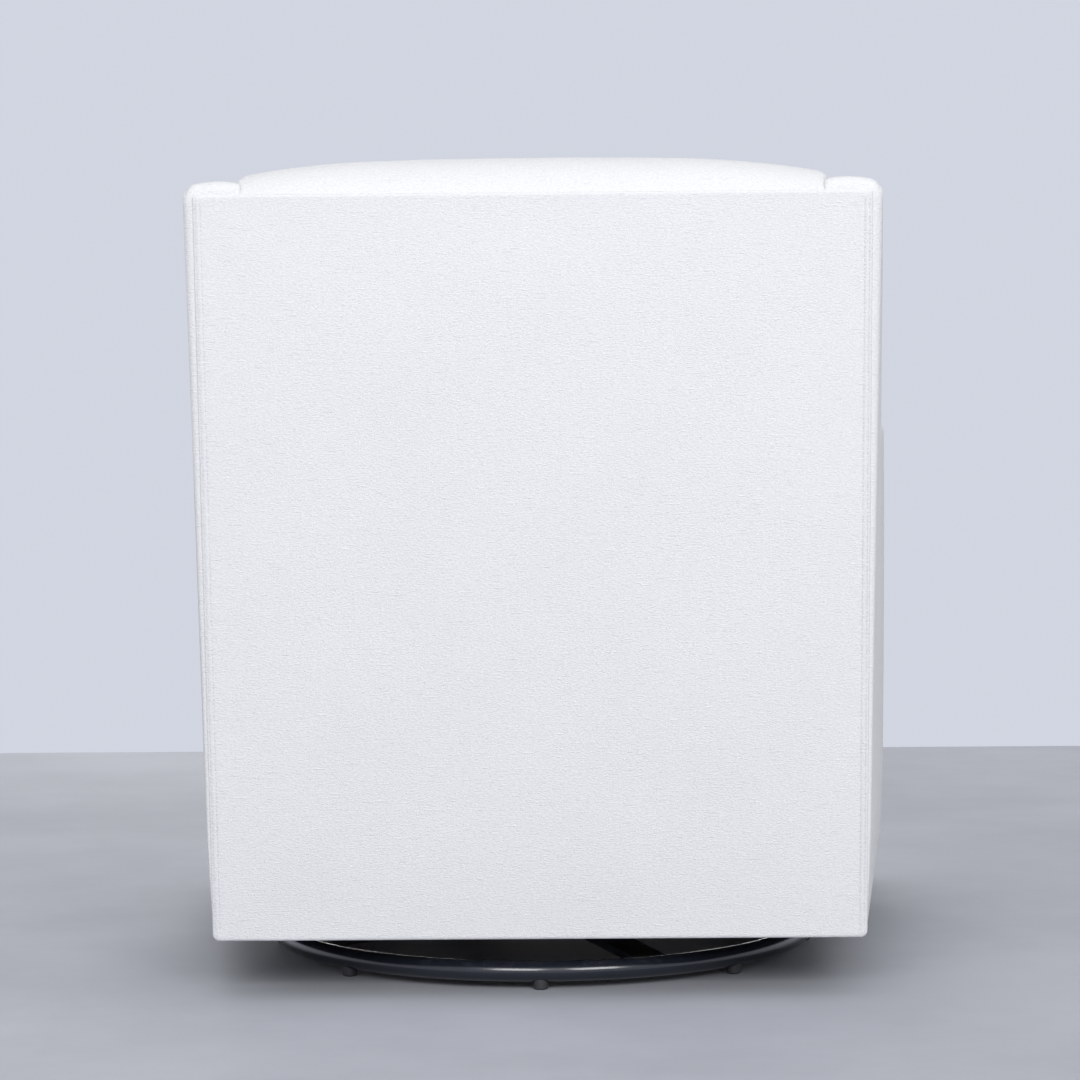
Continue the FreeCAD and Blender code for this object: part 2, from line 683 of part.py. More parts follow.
def seat_section(y, inset, low, high, crown):
    # Boxed cushion across the seat: crowned top, sides bowed out between the seams
    half_width = inner_half(y) - inset
    a = V(-half_width, y, low)
    b = V(half_width, y, low)
    c = V(half_width, y, high)
    d = V(-half_width, y, high)
    right = V(half_width + cushion_bow, y, (low + high) / 2)
    left = V(-half_width - cushion_bow, y, (low + high) / 2)
    return Part.Wire([Part.LineSegment(a, b).toShape(), Part.Arc(b, right, c).toShape(),
                      Part.Arc(c, V(0, y, high + crown), d).toShape(), Part.Arc(d, left, a).toShape()])


# Each row: place along the cushion, how far sides, bottom and top draw in there, share of the crown
cushion_length = cushion_rear_y - seat_front_y
seat_rows = [(cushion_rear_y, 10.0, 12.4, 23.0, 0.22),
             (cushion_rear_y - 7, 4.5, 6.4, 13.0, 0.34),
             (cushion_rear_y - 27, 1.2, 1.9, 4.5, 0.58),
             (cushion_rear_y - cushion_shoulder, 0.0, 0.4, 1.0, 0.86),
             (cushion_rear_y - cushion_length * 0.4, 0.0, 0.0, 0.0, 1.0),
             (cushion_rear_y - cushion_length * 0.66, 0.0, 0.0, 0.5, 0.97),
             (seat_front_y + cushion_shoulder, 0.0, 0.4, 2.0, 0.82),
             (seat_front_y + 32, 1.6, 2.4, 6.0, 0.55),
             (seat_front_y + 9, 6.0, 9.4, 16.0, 0.33),
             (seat_front_y, 15.0, 19.4, 30.0, 0.20)]
seat_sections = []
for y, side, lift, fall, share in seat_rows:
    seat_sections.append(seat_section(y, cushion_inset + side, cushion_low + lift,
                                      cushion_seam_z - fall, cushion_crown * share))
save("seat_cushion", Part.makeLoft(seat_sections, True, False))


def back_section(share, fullness):
    # Inside back at one share of the width: face bowed forward, roll over the top rail
    drop = back_side_drop * (1 - fullness)

    def at(depth, z):
        y = back_y(z) - depth
        return V(share * (inner_half(y) - back_side_gap), y, z)

    low = deck_top_z + 1
    over = top_rail_z + 1
    seam = back_seam_z + 0.8
    behind = web_front + soft_gap
    tuck = outside_back_thickness + 2 * soft_gap
    brow = at(back_brow_depth - drop, crown_z - back_brow_drop)
    waist = at(back_waist_depth - drop, back_waist_z)
    heel = at(back_waist_depth - 8 - drop, low + back_heel_rise)
    points = [brow, waist, heel, at(back_heel_depth - drop, low), at(behind, low), at(behind, over),
              at(tuck, over), at(tuck, seam), at(4.5, seam)]
    edges = [Part.Arc(brow, at(back_chest_depth - drop, back_chest_z), waist).toShape()]
    edges += [Part.LineSegment(points[i], points[i + 1]).toShape() for i in range(1, len(points) - 1)]
    edges.append(Part.Arc(points[-1], at(back_roll_depth, crown_z - drop), brow).toShape())
    return Part.Wire(edges)


shares = [-1.0, -0.94, -0.82, -0.62, -0.34, 0.0, 0.34, 0.62, 0.82, 0.94, 1.0]
save("inside_back", Part.makeLoft([back_section(u, 1 - abs(u) ** 3.2) for u in shares], True, False))

# Dust cover over the whole underside, with a window for the mechanism
dust_top = frame_bottom_z - 0.5
dust_bottom = dust_top - 1
dust_front = seat_room_front + 1
dust_rear = back_y(hem_z) - hollow_rear - soft_gap
dust_half_front = hem_half(dust_front) - inner_face
dust_half_rear = hem_half(dust_rear) - inner_face
dust_corners = [(-dust_half_front, dust_front, 0), (dust_half_front, dust_front, 0),
                (dust_half_rear, dust_rear, 0), (-dust_half_rear, dust_rear, 0)]
dust = slab(dust_corners, on_xy(dust_bottom), V(0, 0, 1))
dust = dust.cut(box(-window_half_x, window_half_x, -window_half_y, window_half_y, dust_bottom, dust_top))
save("dust_cover", dust)
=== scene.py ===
import json
import math

import bmesh
import bpy
import numpy as np
from mathutils import Matrix, Vector, kdtree, noise
from mathutils.geometry import delaunay_2d_cdt


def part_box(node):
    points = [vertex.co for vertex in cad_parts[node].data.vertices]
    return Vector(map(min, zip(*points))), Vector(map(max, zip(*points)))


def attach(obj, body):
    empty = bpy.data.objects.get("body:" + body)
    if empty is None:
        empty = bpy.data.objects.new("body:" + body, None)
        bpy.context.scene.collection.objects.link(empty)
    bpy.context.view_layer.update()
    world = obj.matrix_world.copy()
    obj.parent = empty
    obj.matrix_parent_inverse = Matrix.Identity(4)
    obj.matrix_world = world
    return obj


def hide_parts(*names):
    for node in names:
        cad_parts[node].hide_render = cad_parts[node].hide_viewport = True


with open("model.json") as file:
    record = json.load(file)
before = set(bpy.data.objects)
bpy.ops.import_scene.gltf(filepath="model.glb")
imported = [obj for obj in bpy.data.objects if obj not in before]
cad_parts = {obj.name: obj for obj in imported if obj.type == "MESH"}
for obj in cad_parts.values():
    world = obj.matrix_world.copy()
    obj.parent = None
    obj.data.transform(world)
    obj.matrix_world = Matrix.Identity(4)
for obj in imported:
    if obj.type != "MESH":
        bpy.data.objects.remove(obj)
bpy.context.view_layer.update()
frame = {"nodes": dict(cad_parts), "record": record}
nodes = frame["nodes"]
scene = bpy.context.scene
print("frame loaded,", len(nodes), "solids")

# body lines of the chair, metres, as the solids have them
leanAngle = math.radians(8.0)
body = {
    "hemZ": 0.060, "hemRearY": 0.335, "hemFrontY": -0.425, "lean": math.tan(leanAngle),
    "hemHalfRear": 0.345, "hemHalfFront": 0.417, "wingFlare": 0.008, "armFlare": 0.005,
    "wingWidth": 0.048, "armWidth": 0.0972, "armFrontY": -0.436, "armTopZ": 0.575, "armRise": 0.008,
    "armRearY": 0.148, "wingFrontY": 0.256, "wingTopZ": 0.851, "backHalf": 0.3435, "backSeamZ": 0.839,
    "crownZ": 0.876, "deckTopZ": 0.312,
}


def backY(z):
    return body["hemRearY"] + (z - body["hemZ"]) * body["lean"]


def frontShare(y):
    return (body["hemRearY"] - y) / (body["hemRearY"] - body["hemFrontY"])


def hemHalf(y):
    return body["hemHalfRear"] + (body["hemHalfFront"] - body["hemHalfRear"]) * frontShare(y)


def innerHalf(y):
    rear = body["hemHalfRear"] - body["wingWidth"]
    return rear + (body["hemHalfFront"] - body["armWidth"] - rear) * frontShare(y)


def outerHalf(y, z):
    rearY = backY(body["wingTopZ"])
    share = (rearY - y) / (rearY - body["armFrontY"])
    topRear = body["hemHalfRear"] + body["wingFlare"]
    topFront = body["hemHalfFront"] + body["armFlare"]
    top = topRear + (topFront - topRear) * share
    return hemHalf(y) + (top - hemHalf(y)) * (z - body["hemZ"]) / (body["wingTopZ"] - body["hemZ"])


# small node tools
def newGroup(name, inputs, outputs):
    group = bpy.data.node_groups.new(name, "ShaderNodeTree")
    for label, kind, value in inputs:
        socket = group.interface.new_socket(name=label, in_out="INPUT", socket_type=kind)
        socket.default_value = value
    for label, kind in outputs:
        group.interface.new_socket(name=label, in_out="OUTPUT", socket_type=kind)
    return group, group.nodes.new("NodeGroupInput"), group.nodes.new("NodeGroupOutput")


def feed(tree, socket, value):
    if isinstance(value, bpy.types.NodeSocket):
        tree.links.new(value, socket)
    else:
        socket.default_value = value


def calc(tree, operation, *values):
    node = tree.nodes.new("ShaderNodeMath")
    node.operation = operation
    for socket, value in zip(node.inputs, values):
        feed(tree, socket, value)
    return node.outputs[0]


def remap(tree, value, low, high, toLow=0.0, toHigh=1.0):
    node = tree.nodes.new("ShaderNodeMapRange")
    node.interpolation_type = "SMOOTHSTEP"
    for socket, given in zip(node.inputs, (value, low, high, toLow, toHigh)):
        feed(tree, socket, given)
    return node.outputs[0]


def cloud(tree, vector, scale, detail=2.0, rough=0.5):
    node = tree.nodes.new("ShaderNodeTexNoise")
    feed(tree, node.inputs["Vector"], vector)
    feed(tree, node.inputs["Scale"], scale)
    node.inputs["Detail"].default_value = detail
    node.inputs["Roughness"].default_value = rough
    return node.outputs[0]


def stretch(tree, vector, x, y, z):
    node = tree.nodes.new("ShaderNodeVectorMath")
    node.operation = "MULTIPLY"
    feed(tree, node.inputs[0], vector)
    node.inputs[1].default_value = (x, y, z)
    return node.outputs[0]


def blendColor(tree, factor, first, second):
    node = tree.nodes.new("ShaderNodeMix")
    node.data_type = "RGBA"
    feed(tree, node.inputs["Factor"], factor)
    feed(tree, node.inputs[6], first)
    feed(tree, node.inputs[7], second)
    return node.outputs[2]


def placeGroup(tree, group, **values):
    node = tree.nodes.new("ShaderNodeGroup")
    node.node_tree = group
    for label, value in values.items():
        feed(tree, node.inputs[label], value)
    return node


# cloth lies flat on whichever way the surface faces: u runs across it, v up or back
def clothCoords(tree):
    place = tree.nodes.new("ShaderNodeTexCoord")
    at = tree.nodes.new("ShaderNodeSeparateXYZ")
    way = tree.nodes.new("ShaderNodeSeparateXYZ")
    tree.links.new(place.outputs["Object"], at.inputs[0])
    tree.links.new(place.outputs["Normal"], way.inputs[0])
    nx, ny, nz = [calc(tree, "ABSOLUTE", way.outputs[i]) for i in range(3)]
    isSide = calc(tree, "GREATER_THAN", nx, calc(tree, "MAXIMUM", ny, nz))
    isTop = calc(tree, "GREATER_THAN", nz, calc(tree, "MAXIMUM", nx, ny))
    u = calc(tree, "ADD", calc(tree, "MULTIPLY", at.outputs[0], calc(tree, "SUBTRACT", 1.0, isSide)),
             calc(tree, "MULTIPLY", at.outputs[1], isSide))
    v = calc(tree, "ADD", calc(tree, "MULTIPLY", at.outputs[2], calc(tree, "SUBTRACT", 1.0, isTop)),
             calc(tree, "MULTIPLY", at.outputs[1], isTop))
    join = tree.nodes.new("ShaderNodeCombineXYZ")
    tree.links.new(u, join.inputs[0])
    tree.links.new(v, join.inputs[1])
    return join.outputs[0]


# slubby weave: short uneven dashes across the cloth, now and then a long thin slub
weave = {"dashes": (0.46, 1.0, 1.0), "grains": (0.8, 1.25, 1.0), "slubs": (0.095, 0.8, 1.0),
         "dashRough": 0.62, "dashShare": 0.65, "grainShare": 0.35, "thick": (0.62, 0.74), "thin": (0.37, 0.27),
         "thinShare": 0.55, "slubRise": 0.4, "fuzzScale": 1500.0, "fuzzRough": 0.7, "broadScale": 6.0,
         "broadShare": 0.12}


def makeLinenWeave(spec):
    group, entry, leave = newGroup(
        "linenWeave",
        [(label, "NodeSocketFloat", start) for label, start in (("Pitch", 0.0014), ("Slub", 0.5), ("Fuzz", 0.3))],
        [("Tone", "NodeSocketFloat"), ("Height", "NodeSocketFloat")])
    coords = clothCoords(group)
    scaled = group.nodes.new("ShaderNodeVectorMath")
    scaled.operation = "SCALE"
    group.links.new(coords, scaled.inputs[0])
    group.links.new(calc(group, "DIVIDE", 1.0, entry.outputs["Pitch"]), scaled.inputs["Scale"])
    across = scaled.outputs[0]
    dashes = cloud(group, stretch(group, across, *spec["dashes"]), 1.0, detail=3.0, rough=spec["dashRough"])
    grains = cloud(group, stretch(group, across, *spec["grains"]), 1.0, detail=1.0)
    drawn = cloud(group, stretch(group, across, *spec["slubs"]), 1.0)
    thick = remap(group, drawn, *spec["thick"])
    thin = remap(group, drawn, *spec["thin"])
    fuzz = cloud(group, coords, spec["fuzzScale"], rough=spec["fuzzRough"])
    woven = calc(group, "ADD", calc(group, "MULTIPLY", dashes, spec["dashShare"]),
                 calc(group, "MULTIPLY", grains, spec["grainShare"]))
    slubs = calc(group, "SUBTRACT", thick, calc(group, "MULTIPLY", thin, spec["thinShare"]))
    slubs = calc(group, "MULTIPLY", slubs, entry.outputs["Slub"])
    furry = calc(group, "MULTIPLY", calc(group, "SUBTRACT", fuzz, 0.5), entry.outputs["Fuzz"])
    raised = calc(group, "ADD", woven, calc(group, "MULTIPLY", slubs, spec["slubRise"]))
    height = calc(group, "ADD", raised, furry)
    broad = calc(group, "SUBTRACT", cloud(group, coords, spec["broadScale"]), 0.5)
    tone = calc(group, "ADD", height, calc(group, "MULTIPLY", broad, spec["broadShare"]))
    group.links.new(tone, leave.inputs["Tone"])
    group.links.new(height, leave.inputs["Height"])
    return group


linenWeave = makeLinenWeave(weave)

# orange peel of paint and fine grain of castings
paint = {"broadScale": 14.0, "streaks": (30.0, 1600.0, 1600.0), "peelShare": 0.5}


def makePaintGrain(spec):
    group, entry, leave = newGroup(
        "paintGrain", [("Scale", "NodeSocketFloat", 900.0), ("Streak", "NodeSocketFloat", 0.0)],
        [("Tone", "NodeSocketFloat"), ("Height", "NodeSocketFloat")])
    place = group.nodes.new("ShaderNodeTexCoord").outputs["Object"]
    peel = cloud(group, place, entry.outputs["Scale"])
    broad = cloud(group, place, spec["broadScale"], detail=3.0)
    streaks = cloud(group, stretch(group, place, *spec["streaks"]), 1.0)
    mixed = calc(group, "ADD", calc(group, "MULTIPLY", peel, spec["peelShare"]),
                 calc(group, "MULTIPLY", broad, 1.0 - spec["peelShare"]))
    extra = calc(group, "MULTIPLY", streaks, entry.outputs["Streak"])
    group.links.new(calc(group, "ADD", mixed, extra), leave.inputs["Tone"])
    group.links.new(calc(group, "ADD", peel, extra), leave.inputs["Height"])
    return group


paintGrain = makePaintGrain(paint)

# house dust that settles on what faces up
dust = {"facing": (0.25, 0.95), "specks": (0.38, 0.72), "speckScale": 85.0, "speckRough": 0.65,
        "color": (0.42, 0.42, 0.43, 1.0), "dulls": 0.4}


def makeDustFall(spec):
    group, entry, leave = newGroup(
        "dustFall", [("Amount", "NodeSocketFloat", 0.3)], [("Mask", "NodeSocketFloat")])
    place = group.nodes.new("ShaderNodeTexCoord")
    way = group.nodes.new("ShaderNodeSeparateXYZ")
    group.links.new(place.outputs["Normal"], way.inputs[0])
    up = remap(group, way.outputs[2], *spec["facing"])
    specks = cloud(group, place.outputs["Object"], spec["speckScale"], detail=5.0, rough=spec["speckRough"])
    specks = remap(group, specks, *spec["specks"])
    fallen = calc(group, "MULTIPLY", calc(group, "MULTIPLY", up, specks), entry.outputs["Amount"])
    group.links.new(fallen, leave.inputs["Mask"])
    return group


dustFall = makeDustFall(dust)

# growth rings stretched along the board
board = {"along": (1.0, 0.12, 1.0), "bendScale": 9.0, "pores": (700.0, 40.0, 700.0), "ringShare": 0.3,
         "poreShare": 0.4}


def makeBoardGrain(spec):
    group, entry, leave = newGroup(
        "boardGrain", [("Rings", "NodeSocketFloat", 60.0)],
        [("Tone", "NodeSocketFloat"), ("Height", "NodeSocketFloat")])
    place = group.nodes.new("ShaderNodeTexCoord").outputs["Object"]
    bend = cloud(group, stretch(group, place, *spec["along"]), spec["bendScale"], detail=3.0)
    rings = calc(group, "SINE", calc(group, "MULTIPLY", bend, entry.outputs["Rings"]))
    pores = cloud(group, stretch(group, place, *spec["pores"]), 1.0)
    tone = calc(group, "ADD", calc(group, "MULTIPLY", calc(group, "ADD", rings, 1.0), spec["ringShare"]),
                calc(group, "MULTIPLY", pores, spec["poreShare"]))
    group.links.new(tone, leave.inputs["Tone"])
    group.links.new(pores, leave.inputs["Height"])
    return group


boardGrain = makeBoardGrain(board)


def startMaterial(name, **plain):
    material = bpy.data.materials.new(name)
    material.use_nodes = True
    shader = material.node_tree.nodes["Principled BSDF"]
    for label, value in plain.items():
        shader.inputs[label].default_value = value
    return material, material.node_tree, shader


def bumpInto(tree, shader, height, distance, strength):
    node = tree.nodes.new("ShaderNodeBump")
    node.inputs["Strength"].default_value = strength
    node.inputs["Distance"].default_value = distance
    feed(tree, node.inputs["Height"], height)
    tree.links.new(node.outputs["Normal"], shader.inputs["Normal"])


clothLook = {"rough": 0.92, "sheenRough": 0.55, "specular": 0.25, "toneRange": (0.15, 0.85), "bumpStrength": 0.65}
paintLook = {"coatRough": 0.12, "toneRange": (0.25, 0.8), "bumpStrength": 0.4}
boardLook = {"rough": 0.75, "specular": 0.3, "bumpStrength": 0.5}


def clothMaterial(name, dark, light, pitch, slub, fuzz, bump, sheen):
    material, tree, shader = startMaterial(name, **{
        "Roughness": clothLook["rough"], "Sheen Weight": sheen, "Sheen Roughness": clothLook["sheenRough"],
        "Specular IOR Level": clothLook["specular"]})
    woven = placeGroup(tree, linenWeave, Pitch=pitch, Slub=slub, Fuzz=fuzz)
    shade = remap(tree, woven.outputs["Tone"], *clothLook["toneRange"])
    tree.links.new(blendColor(tree, shade, dark, light), shader.inputs["Base Color"])
    bumpInto(tree, shader, woven.outputs["Height"], bump, clothLook["bumpStrength"])
    return material


def paintMaterial(name, dark, light, gloss, dull, scale, bump, dusty, metal=0.0, streak=0.0, coat=0.0):
    material, tree, shader = startMaterial(name, **{
        "Metallic": metal, "Coat Weight": coat, "Coat Roughness": paintLook["coatRough"]})
    grain = placeGroup(tree, paintGrain, Scale=scale, Streak=streak)
    settled = placeGroup(tree, dustFall, Amount=dusty).outputs["Mask"]
    coated = blendColor(tree, grain.outputs["Tone"], dark, light)
    tree.links.new(blendColor(tree, settled, coated, dust["color"]), shader.inputs["Base Color"])
    rough = remap(tree, grain.outputs["Tone"], *paintLook["toneRange"], gloss, dull)
    dulled = calc(tree, "ADD", rough, calc(tree, "MULTIPLY", settled, dust["dulls"]))
    tree.links.new(dulled, shader.inputs["Roughness"])
    bumpInto(tree, shader, grain.outputs["Height"], bump, paintLook["bumpStrength"])
    return material


def boardMaterial(name, dark, light, rings, bump):
    material, tree, shader = startMaterial(name, **{
        "Roughness": boardLook["rough"], "Specular IOR Level": boardLook["specular"]})
    grain = placeGroup(tree, boardGrain, Rings=rings)
    tree.links.new(blendColor(tree, grain.outputs["Tone"], dark, light), shader.inputs["Base Color"])
    bumpInto(tree, shader, grain.outputs["Height"], bump, boardLook["bumpStrength"])
    return material


finishes = {
    "white_fabric": clothMaterial("whiteLinen", (0.715, 0.72, 0.742, 1), (0.885, 0.89, 0.910, 1),
                                  pitch=0.0016, slub=0.6, fuzz=0.34, bump=0.0026, sheen=0.08),
    # black paint for the tube; the blue tint in both of its colours is painted reflection of the bluish
    # surroundings
    "black_metal": paintMaterial("glossBlackTube", (0.006, 0.008, 0.014, 1), (0.018, 0.022, 0.034, 1),
                                 gloss=0.16, dull=0.27, scale=1100.0, bump=0.00010, dusty=0.04, coat=0.5),
    "dark_steel": paintMaterial("blackPlate", (0.016, 0.016, 0.018, 1), (0.045, 0.045, 0.05, 1),
                                gloss=0.42, dull=0.6, scale=800.0, bump=0.0002, dusty=0.10),
    "steel": paintMaterial("zincSteel", (0.42, 0.42, 0.44, 1), (0.66, 0.66, 0.67, 1),
                           gloss=0.28, dull=0.42, scale=500.0, bump=0.00008, dusty=0.06, metal=1.0, streak=0.35),
    "rubber": paintMaterial("stopRubber", (0.012, 0.012, 0.012, 1), (0.035, 0.034, 0.033, 1),
                            gloss=0.72, dull=0.88, scale=1500.0, bump=0.0002, dusty=0.12),
    "nylon": paintMaterial("glideNylon", (0.018, 0.018, 0.02, 1), (0.05, 0.05, 0.055, 1),
                           gloss=0.45, dull=0.6, scale=1200.0, bump=0.0001, dusty=0.05),
    "acetal": paintMaterial("bearingPlastic", (0.72, 0.72, 0.68, 1), (0.84, 0.84, 0.8, 1),
                            gloss=0.38, dull=0.5, scale=1000.0, bump=0.00006, dusty=0.08),
    "wood": boardMaterial("frameHardwood", (0.36, 0.235, 0.13, 1), (0.66, 0.49, 0.31, 1),
                          rings=46.0, bump=0.0003),
    "plywood": boardMaterial("armPlywood", (0.5, 0.37, 0.23, 1), (0.76, 0.62, 0.44, 1),
                             rings=90.0, bump=0.0003),
    "hardboard": boardMaterial("backHardboard", (0.2, 0.125, 0.075, 1), (0.34, 0.22, 0.14, 1),
                               rings=12.0, bump=0.0004),
    "webbing": clothMaterial("blackWebbing", (0.05, 0.048, 0.045, 1), (0.2, 0.19, 0.175, 1),
                             pitch=0.0024, slub=0.35, fuzz=0.2, bump=0.0009, sheen=0.0),
    "dust_cloth": clothMaterial("dustCloth", (0.014, 0.014, 0.015, 1), (0.045, 0.045, 0.047, 1),
                                pitch=0.0012, slub=0.2, fuzz=0.7, bump=0.0004, sheen=0.0),
    "wadding": clothMaterial("deckWadding", (0.72, 0.7, 0.64, 1), (0.86, 0.84, 0.79, 1),
                             pitch=0.0030, slub=0.3, fuzz=0.9, bump=0.0014, sheen=0.1),
}
# thread in the cloth's white, made a little darker as painted shade along the stitch rows
stitchThread = clothMaterial("stitchThread", (0.62, 0.63, 0.67, 1), (0.84, 0.845, 0.87, 1),
                             pitch=0.0006, slub=0.2, fuzz=0.3, bump=0.0002, sheen=0.1)
for part in frame["record"]["subparts"]:
    solid = nodes[part["node"]]
    solid.data.materials.clear()
    solid.data.materials.append(finishes[part["material_slot"]])
print("finishes set,", len(finishes))


# how finely the panels are cut and welded
panelMesh = {"cornerPoints": 7, "cornerFine": 3, "leastRound": 0.0004, "gridClear": 0.6, "merge": 1e-7,
             "weld": 0.00002}


def roundLoop(corners, step, inset=0.0):
    # closed loop through (u, v, radius) corners; an inset loop keeps the same count of points
    spots = np.array([c[:2] for c in corners], float)
    radii = [c[2] for c in corners]
    ahead = np.roll(spots, -1, 0)
    if np.sum(spots[:, 0] * ahead[:, 1] - ahead[:, 0] * spots[:, 1]) < 0:
        spots, radii = spots[::-1], radii[::-1]
        ahead = np.roll(spots, -1, 0)
    edges = (ahead - spots) / np.linalg.norm(ahead - spots, axis=1)[:, None]
    runs, counts = [], []
    for i, radius in enumerate(radii):
        before, after = edges[i - 1], edges[i]
        turn = math.atan2(before[0] * after[1] - before[1] * after[0], before @ after)
        sides = (np.array((-before[1], before[0])), np.array((-after[1], after[0])))
        middle = (sides[0] + sides[1]) / (1.0 + sides[0] @ sides[1])
        corner = spots[i] + middle * inset
        fine = int(abs(turn) * radius / step * panelMesh["cornerFine"])
        count = max(panelMesh["cornerPoints"], fine) if radius > 0 else 1
        eased = max(radius - inset * math.copysign(1, turn), panelMesh["leastRound"])
        if count == 1:
            runs.append(corner[None])
        else:
            centre = corner + middle * eased * math.copysign(1, turn)
            start = -sides[0] * math.copysign(1, turn)
            angles = math.atan2(start[1], start[0]) + turn * np.linspace(0, 1, count)
            runs.append(centre + eased * np.stack([np.cos(angles), np.sin(angles)], 1))
        reach = np.linalg.norm(ahead[i] - spots[i])
        counts.append(max(1, int(reach / step)))
    loop = []
    for i, run in enumerate(runs):
        following = runs[(i + 1) % len(runs)][0]
        between = np.linspace(0, 1, counts[i] + 1)[1:-1, None]
        loop += [run, run[-1] + (following - run[-1]) * between]
    return np.concatenate(loop)


def inwardOf(loop):
    along = np.roll(loop, -1, 0) - np.roll(loop, 1, 0)
    along = along / np.linalg.norm(along, axis=1)[:, None]
    return np.stack([-along[:, 1], along[:, 0]], 1)


def distanceTo(loop, points):
    a = loop[None]
    b = np.roll(loop, -1, 0)[None] - a
    rel = points[:, None] - a
    t = np.clip((rel * b).sum(2) / (b * b).sum(2), 0, 1)
    return np.sqrt((((rel - b * t[..., None]) ** 2).sum(2)).min(1))


def insideLoop(loop, points):
    x, y = points.T
    crossing = np.zeros(len(points), bool)
    for (ax, ay), (bx, by) in zip(loop, np.roll(loop, -1, 0)):
        spans = (ay > y) != (by > y)
        crossing ^= spans & (x < (bx - ax) * (y - ay) / (by - ay if by != ay else 1e-12) + ax)
    return crossing


def fillPanel(corners, step, offsets, gridStep):
    # rings follow the edge, a grid fills the middle; gives points, faces and distance from the edge
    rings = [roundLoop(corners, step, offset) for offset in offsets]
    loop = rings[0]
    count = len(loop)
    faces = []
    for k in range(len(offsets) - 1):
        for i in range(count):
            j = (i + 1) % count
            faces.append((k * count + i, k * count + j, (k + 1) * count + j, (k + 1) * count + i))
    inner = rings[-1]
    low, high = inner.min(0), inner.max(0)
    lines = [np.arange(low[i], high[i], gridStep) for i in range(2)]
    grid = np.stack(np.meshgrid(*lines), -1).reshape(-1, 2)
    grid = grid[insideLoop(inner, grid)]
    grid = grid[distanceTo(inner, grid) > gridStep * panelMesh["gridClear"]]
    flat = [Vector(p) for p in np.concatenate([inner, grid])]
    made = delaunay_2d_cdt(flat, [], [list(range(count))], 1, panelMesh["merge"])
    origin = [o[0] if o else -1 for o in made[3]]
    shift = (len(offsets) - 1) * count
    faces += [tuple(shift + origin[i] for i in face) for face in made[2]]
    points = np.concatenate(rings + [grid])
    distance = np.concatenate([np.full(count, o) for o in offsets] + [distanceTo(loop, grid)])
    return points, faces, distance


# how far a rounded edge falls back
def ease(distance, radius):
    near = np.minimum(distance, radius)
    return radius - np.sqrt(np.maximum(radius ** 2 - (radius - near) ** 2, 0.0))


# fullness that grows away from the seam
def swell(distance, reach):
    return 1.0 - np.exp(-(distance / reach) ** 2)


# slow unevenness of cloth
def ripple(points, size, scale, seed):
    return size * np.array([noise.noise(Vector((p[0] * scale, p[1] * scale, seed))) for p in points])


# running mean round a closed loop
def evenOut(values, reach):
    wrapped = np.concatenate([values[-reach:], values, values[:reach]])
    return np.convolve(wrapped, np.ones(2 * reach + 1) / (2 * reach + 1), "valid")


def makeObject(name, points, faces, material, flip=False):
    mesh = bpy.data.meshes.new(name)
    mesh.from_pydata([tuple(p) for p in points], [], [f[::-1] if flip else f for f in faces])
    work = bmesh.new()
    work.from_mesh(mesh)
    bmesh.ops.remove_doubles(work, verts=work.verts, dist=panelMesh["weld"])
    work.to_mesh(mesh)
    work.free()
    mesh.validate()
    mesh.shade_smooth()
    mesh.materials.append(material)
    piece = bpy.data.objects.new(name, mesh)
    scene.collection.objects.link(piece)
    return piece


# one row of thread, each stitch a short bowed strand that dips in at its ends
strand = {"rise": (-0.7, 0.55, 0.9, 0.55, -0.7), "sides": 6}


def sewRow(name, path, normal, pitch, length, radius):
    run = np.concatenate([[0], np.cumsum(np.linalg.norm(np.diff(path, axis=0), axis=1))])
    starts = np.arange(pitch / 2, run[-1] - pitch, pitch)
    points, faces = [], []
    rise, sides = strand["rise"], strand["sides"]
    around = [2 * math.pi * k / sides for k in range(sides)]
    for s in starts:
        base = len(points)
        spots = s + np.linspace(0, length, len(rise))
        centres = np.stack([np.interp(spots, run, path[:, i]) for i in range(3)], 1)
        ups = np.stack([np.interp(spots, run, normal[:, i]) for i in range(3)], 1)
        ahead = centres[-1] - centres[0]
        ahead = ahead / np.linalg.norm(ahead)
        for centre, up, lift in zip(centres, ups, rise):
            up = up / np.linalg.norm(up)
            aside = np.cross(ahead, up)
            middle = centre + up * lift * radius
            points += [middle + (aside * math.cos(a) + up * math.sin(a)) * radius for a in around]
        for low in range(base, base + (len(rise) - 1) * sides, sides):
            for i in range(sides):
                j = (i + 1) % sides
                faces.append((low + i, low + j, low + sides + j, low + sides + i))
    return makeObject(name, points, faces, stitchThread)


# outside back: one flat panel, felled seams with two rows of thread down both sides
outsideBack = {"rim": 0.0032, "lips": (0.006, 0.0095), "swell": 0.0028, "reach": 0.07, "grid": 0.013, "step": 0.006,
               "rings": (0, 0.0005, 0.0012, 0.0022, 0.0034, 0.0046, 0.006, 0.0073, 0.0082, 0.0091, 0.011, 0.015),
               "hemRound": 0.007, "topRound": 0.004, "rows": (0.0034, 0.0082), "groove": 0.0006,
               "grooveWidth": 0.0011, "fold": 0.0009, "foldAt": 0.0058, "foldWidth": 0.0026, "pucker": 0.00035,
               "puckerPitch": 0.017, "puckerReach": 0.012, "puckerFrom": 0.001, "wander": (0.0011, 3.1, 1.7),
               "wanderReach": 0.05, "crinkle": (0.0004, 11.0, 5.2), "pitch": 0.0044, "stitch": 0.0031,
               "thread": 0.00034, "threadLift": 0.0002, "threadEnds": (0.012, 0.004), "threadPoints": 200}


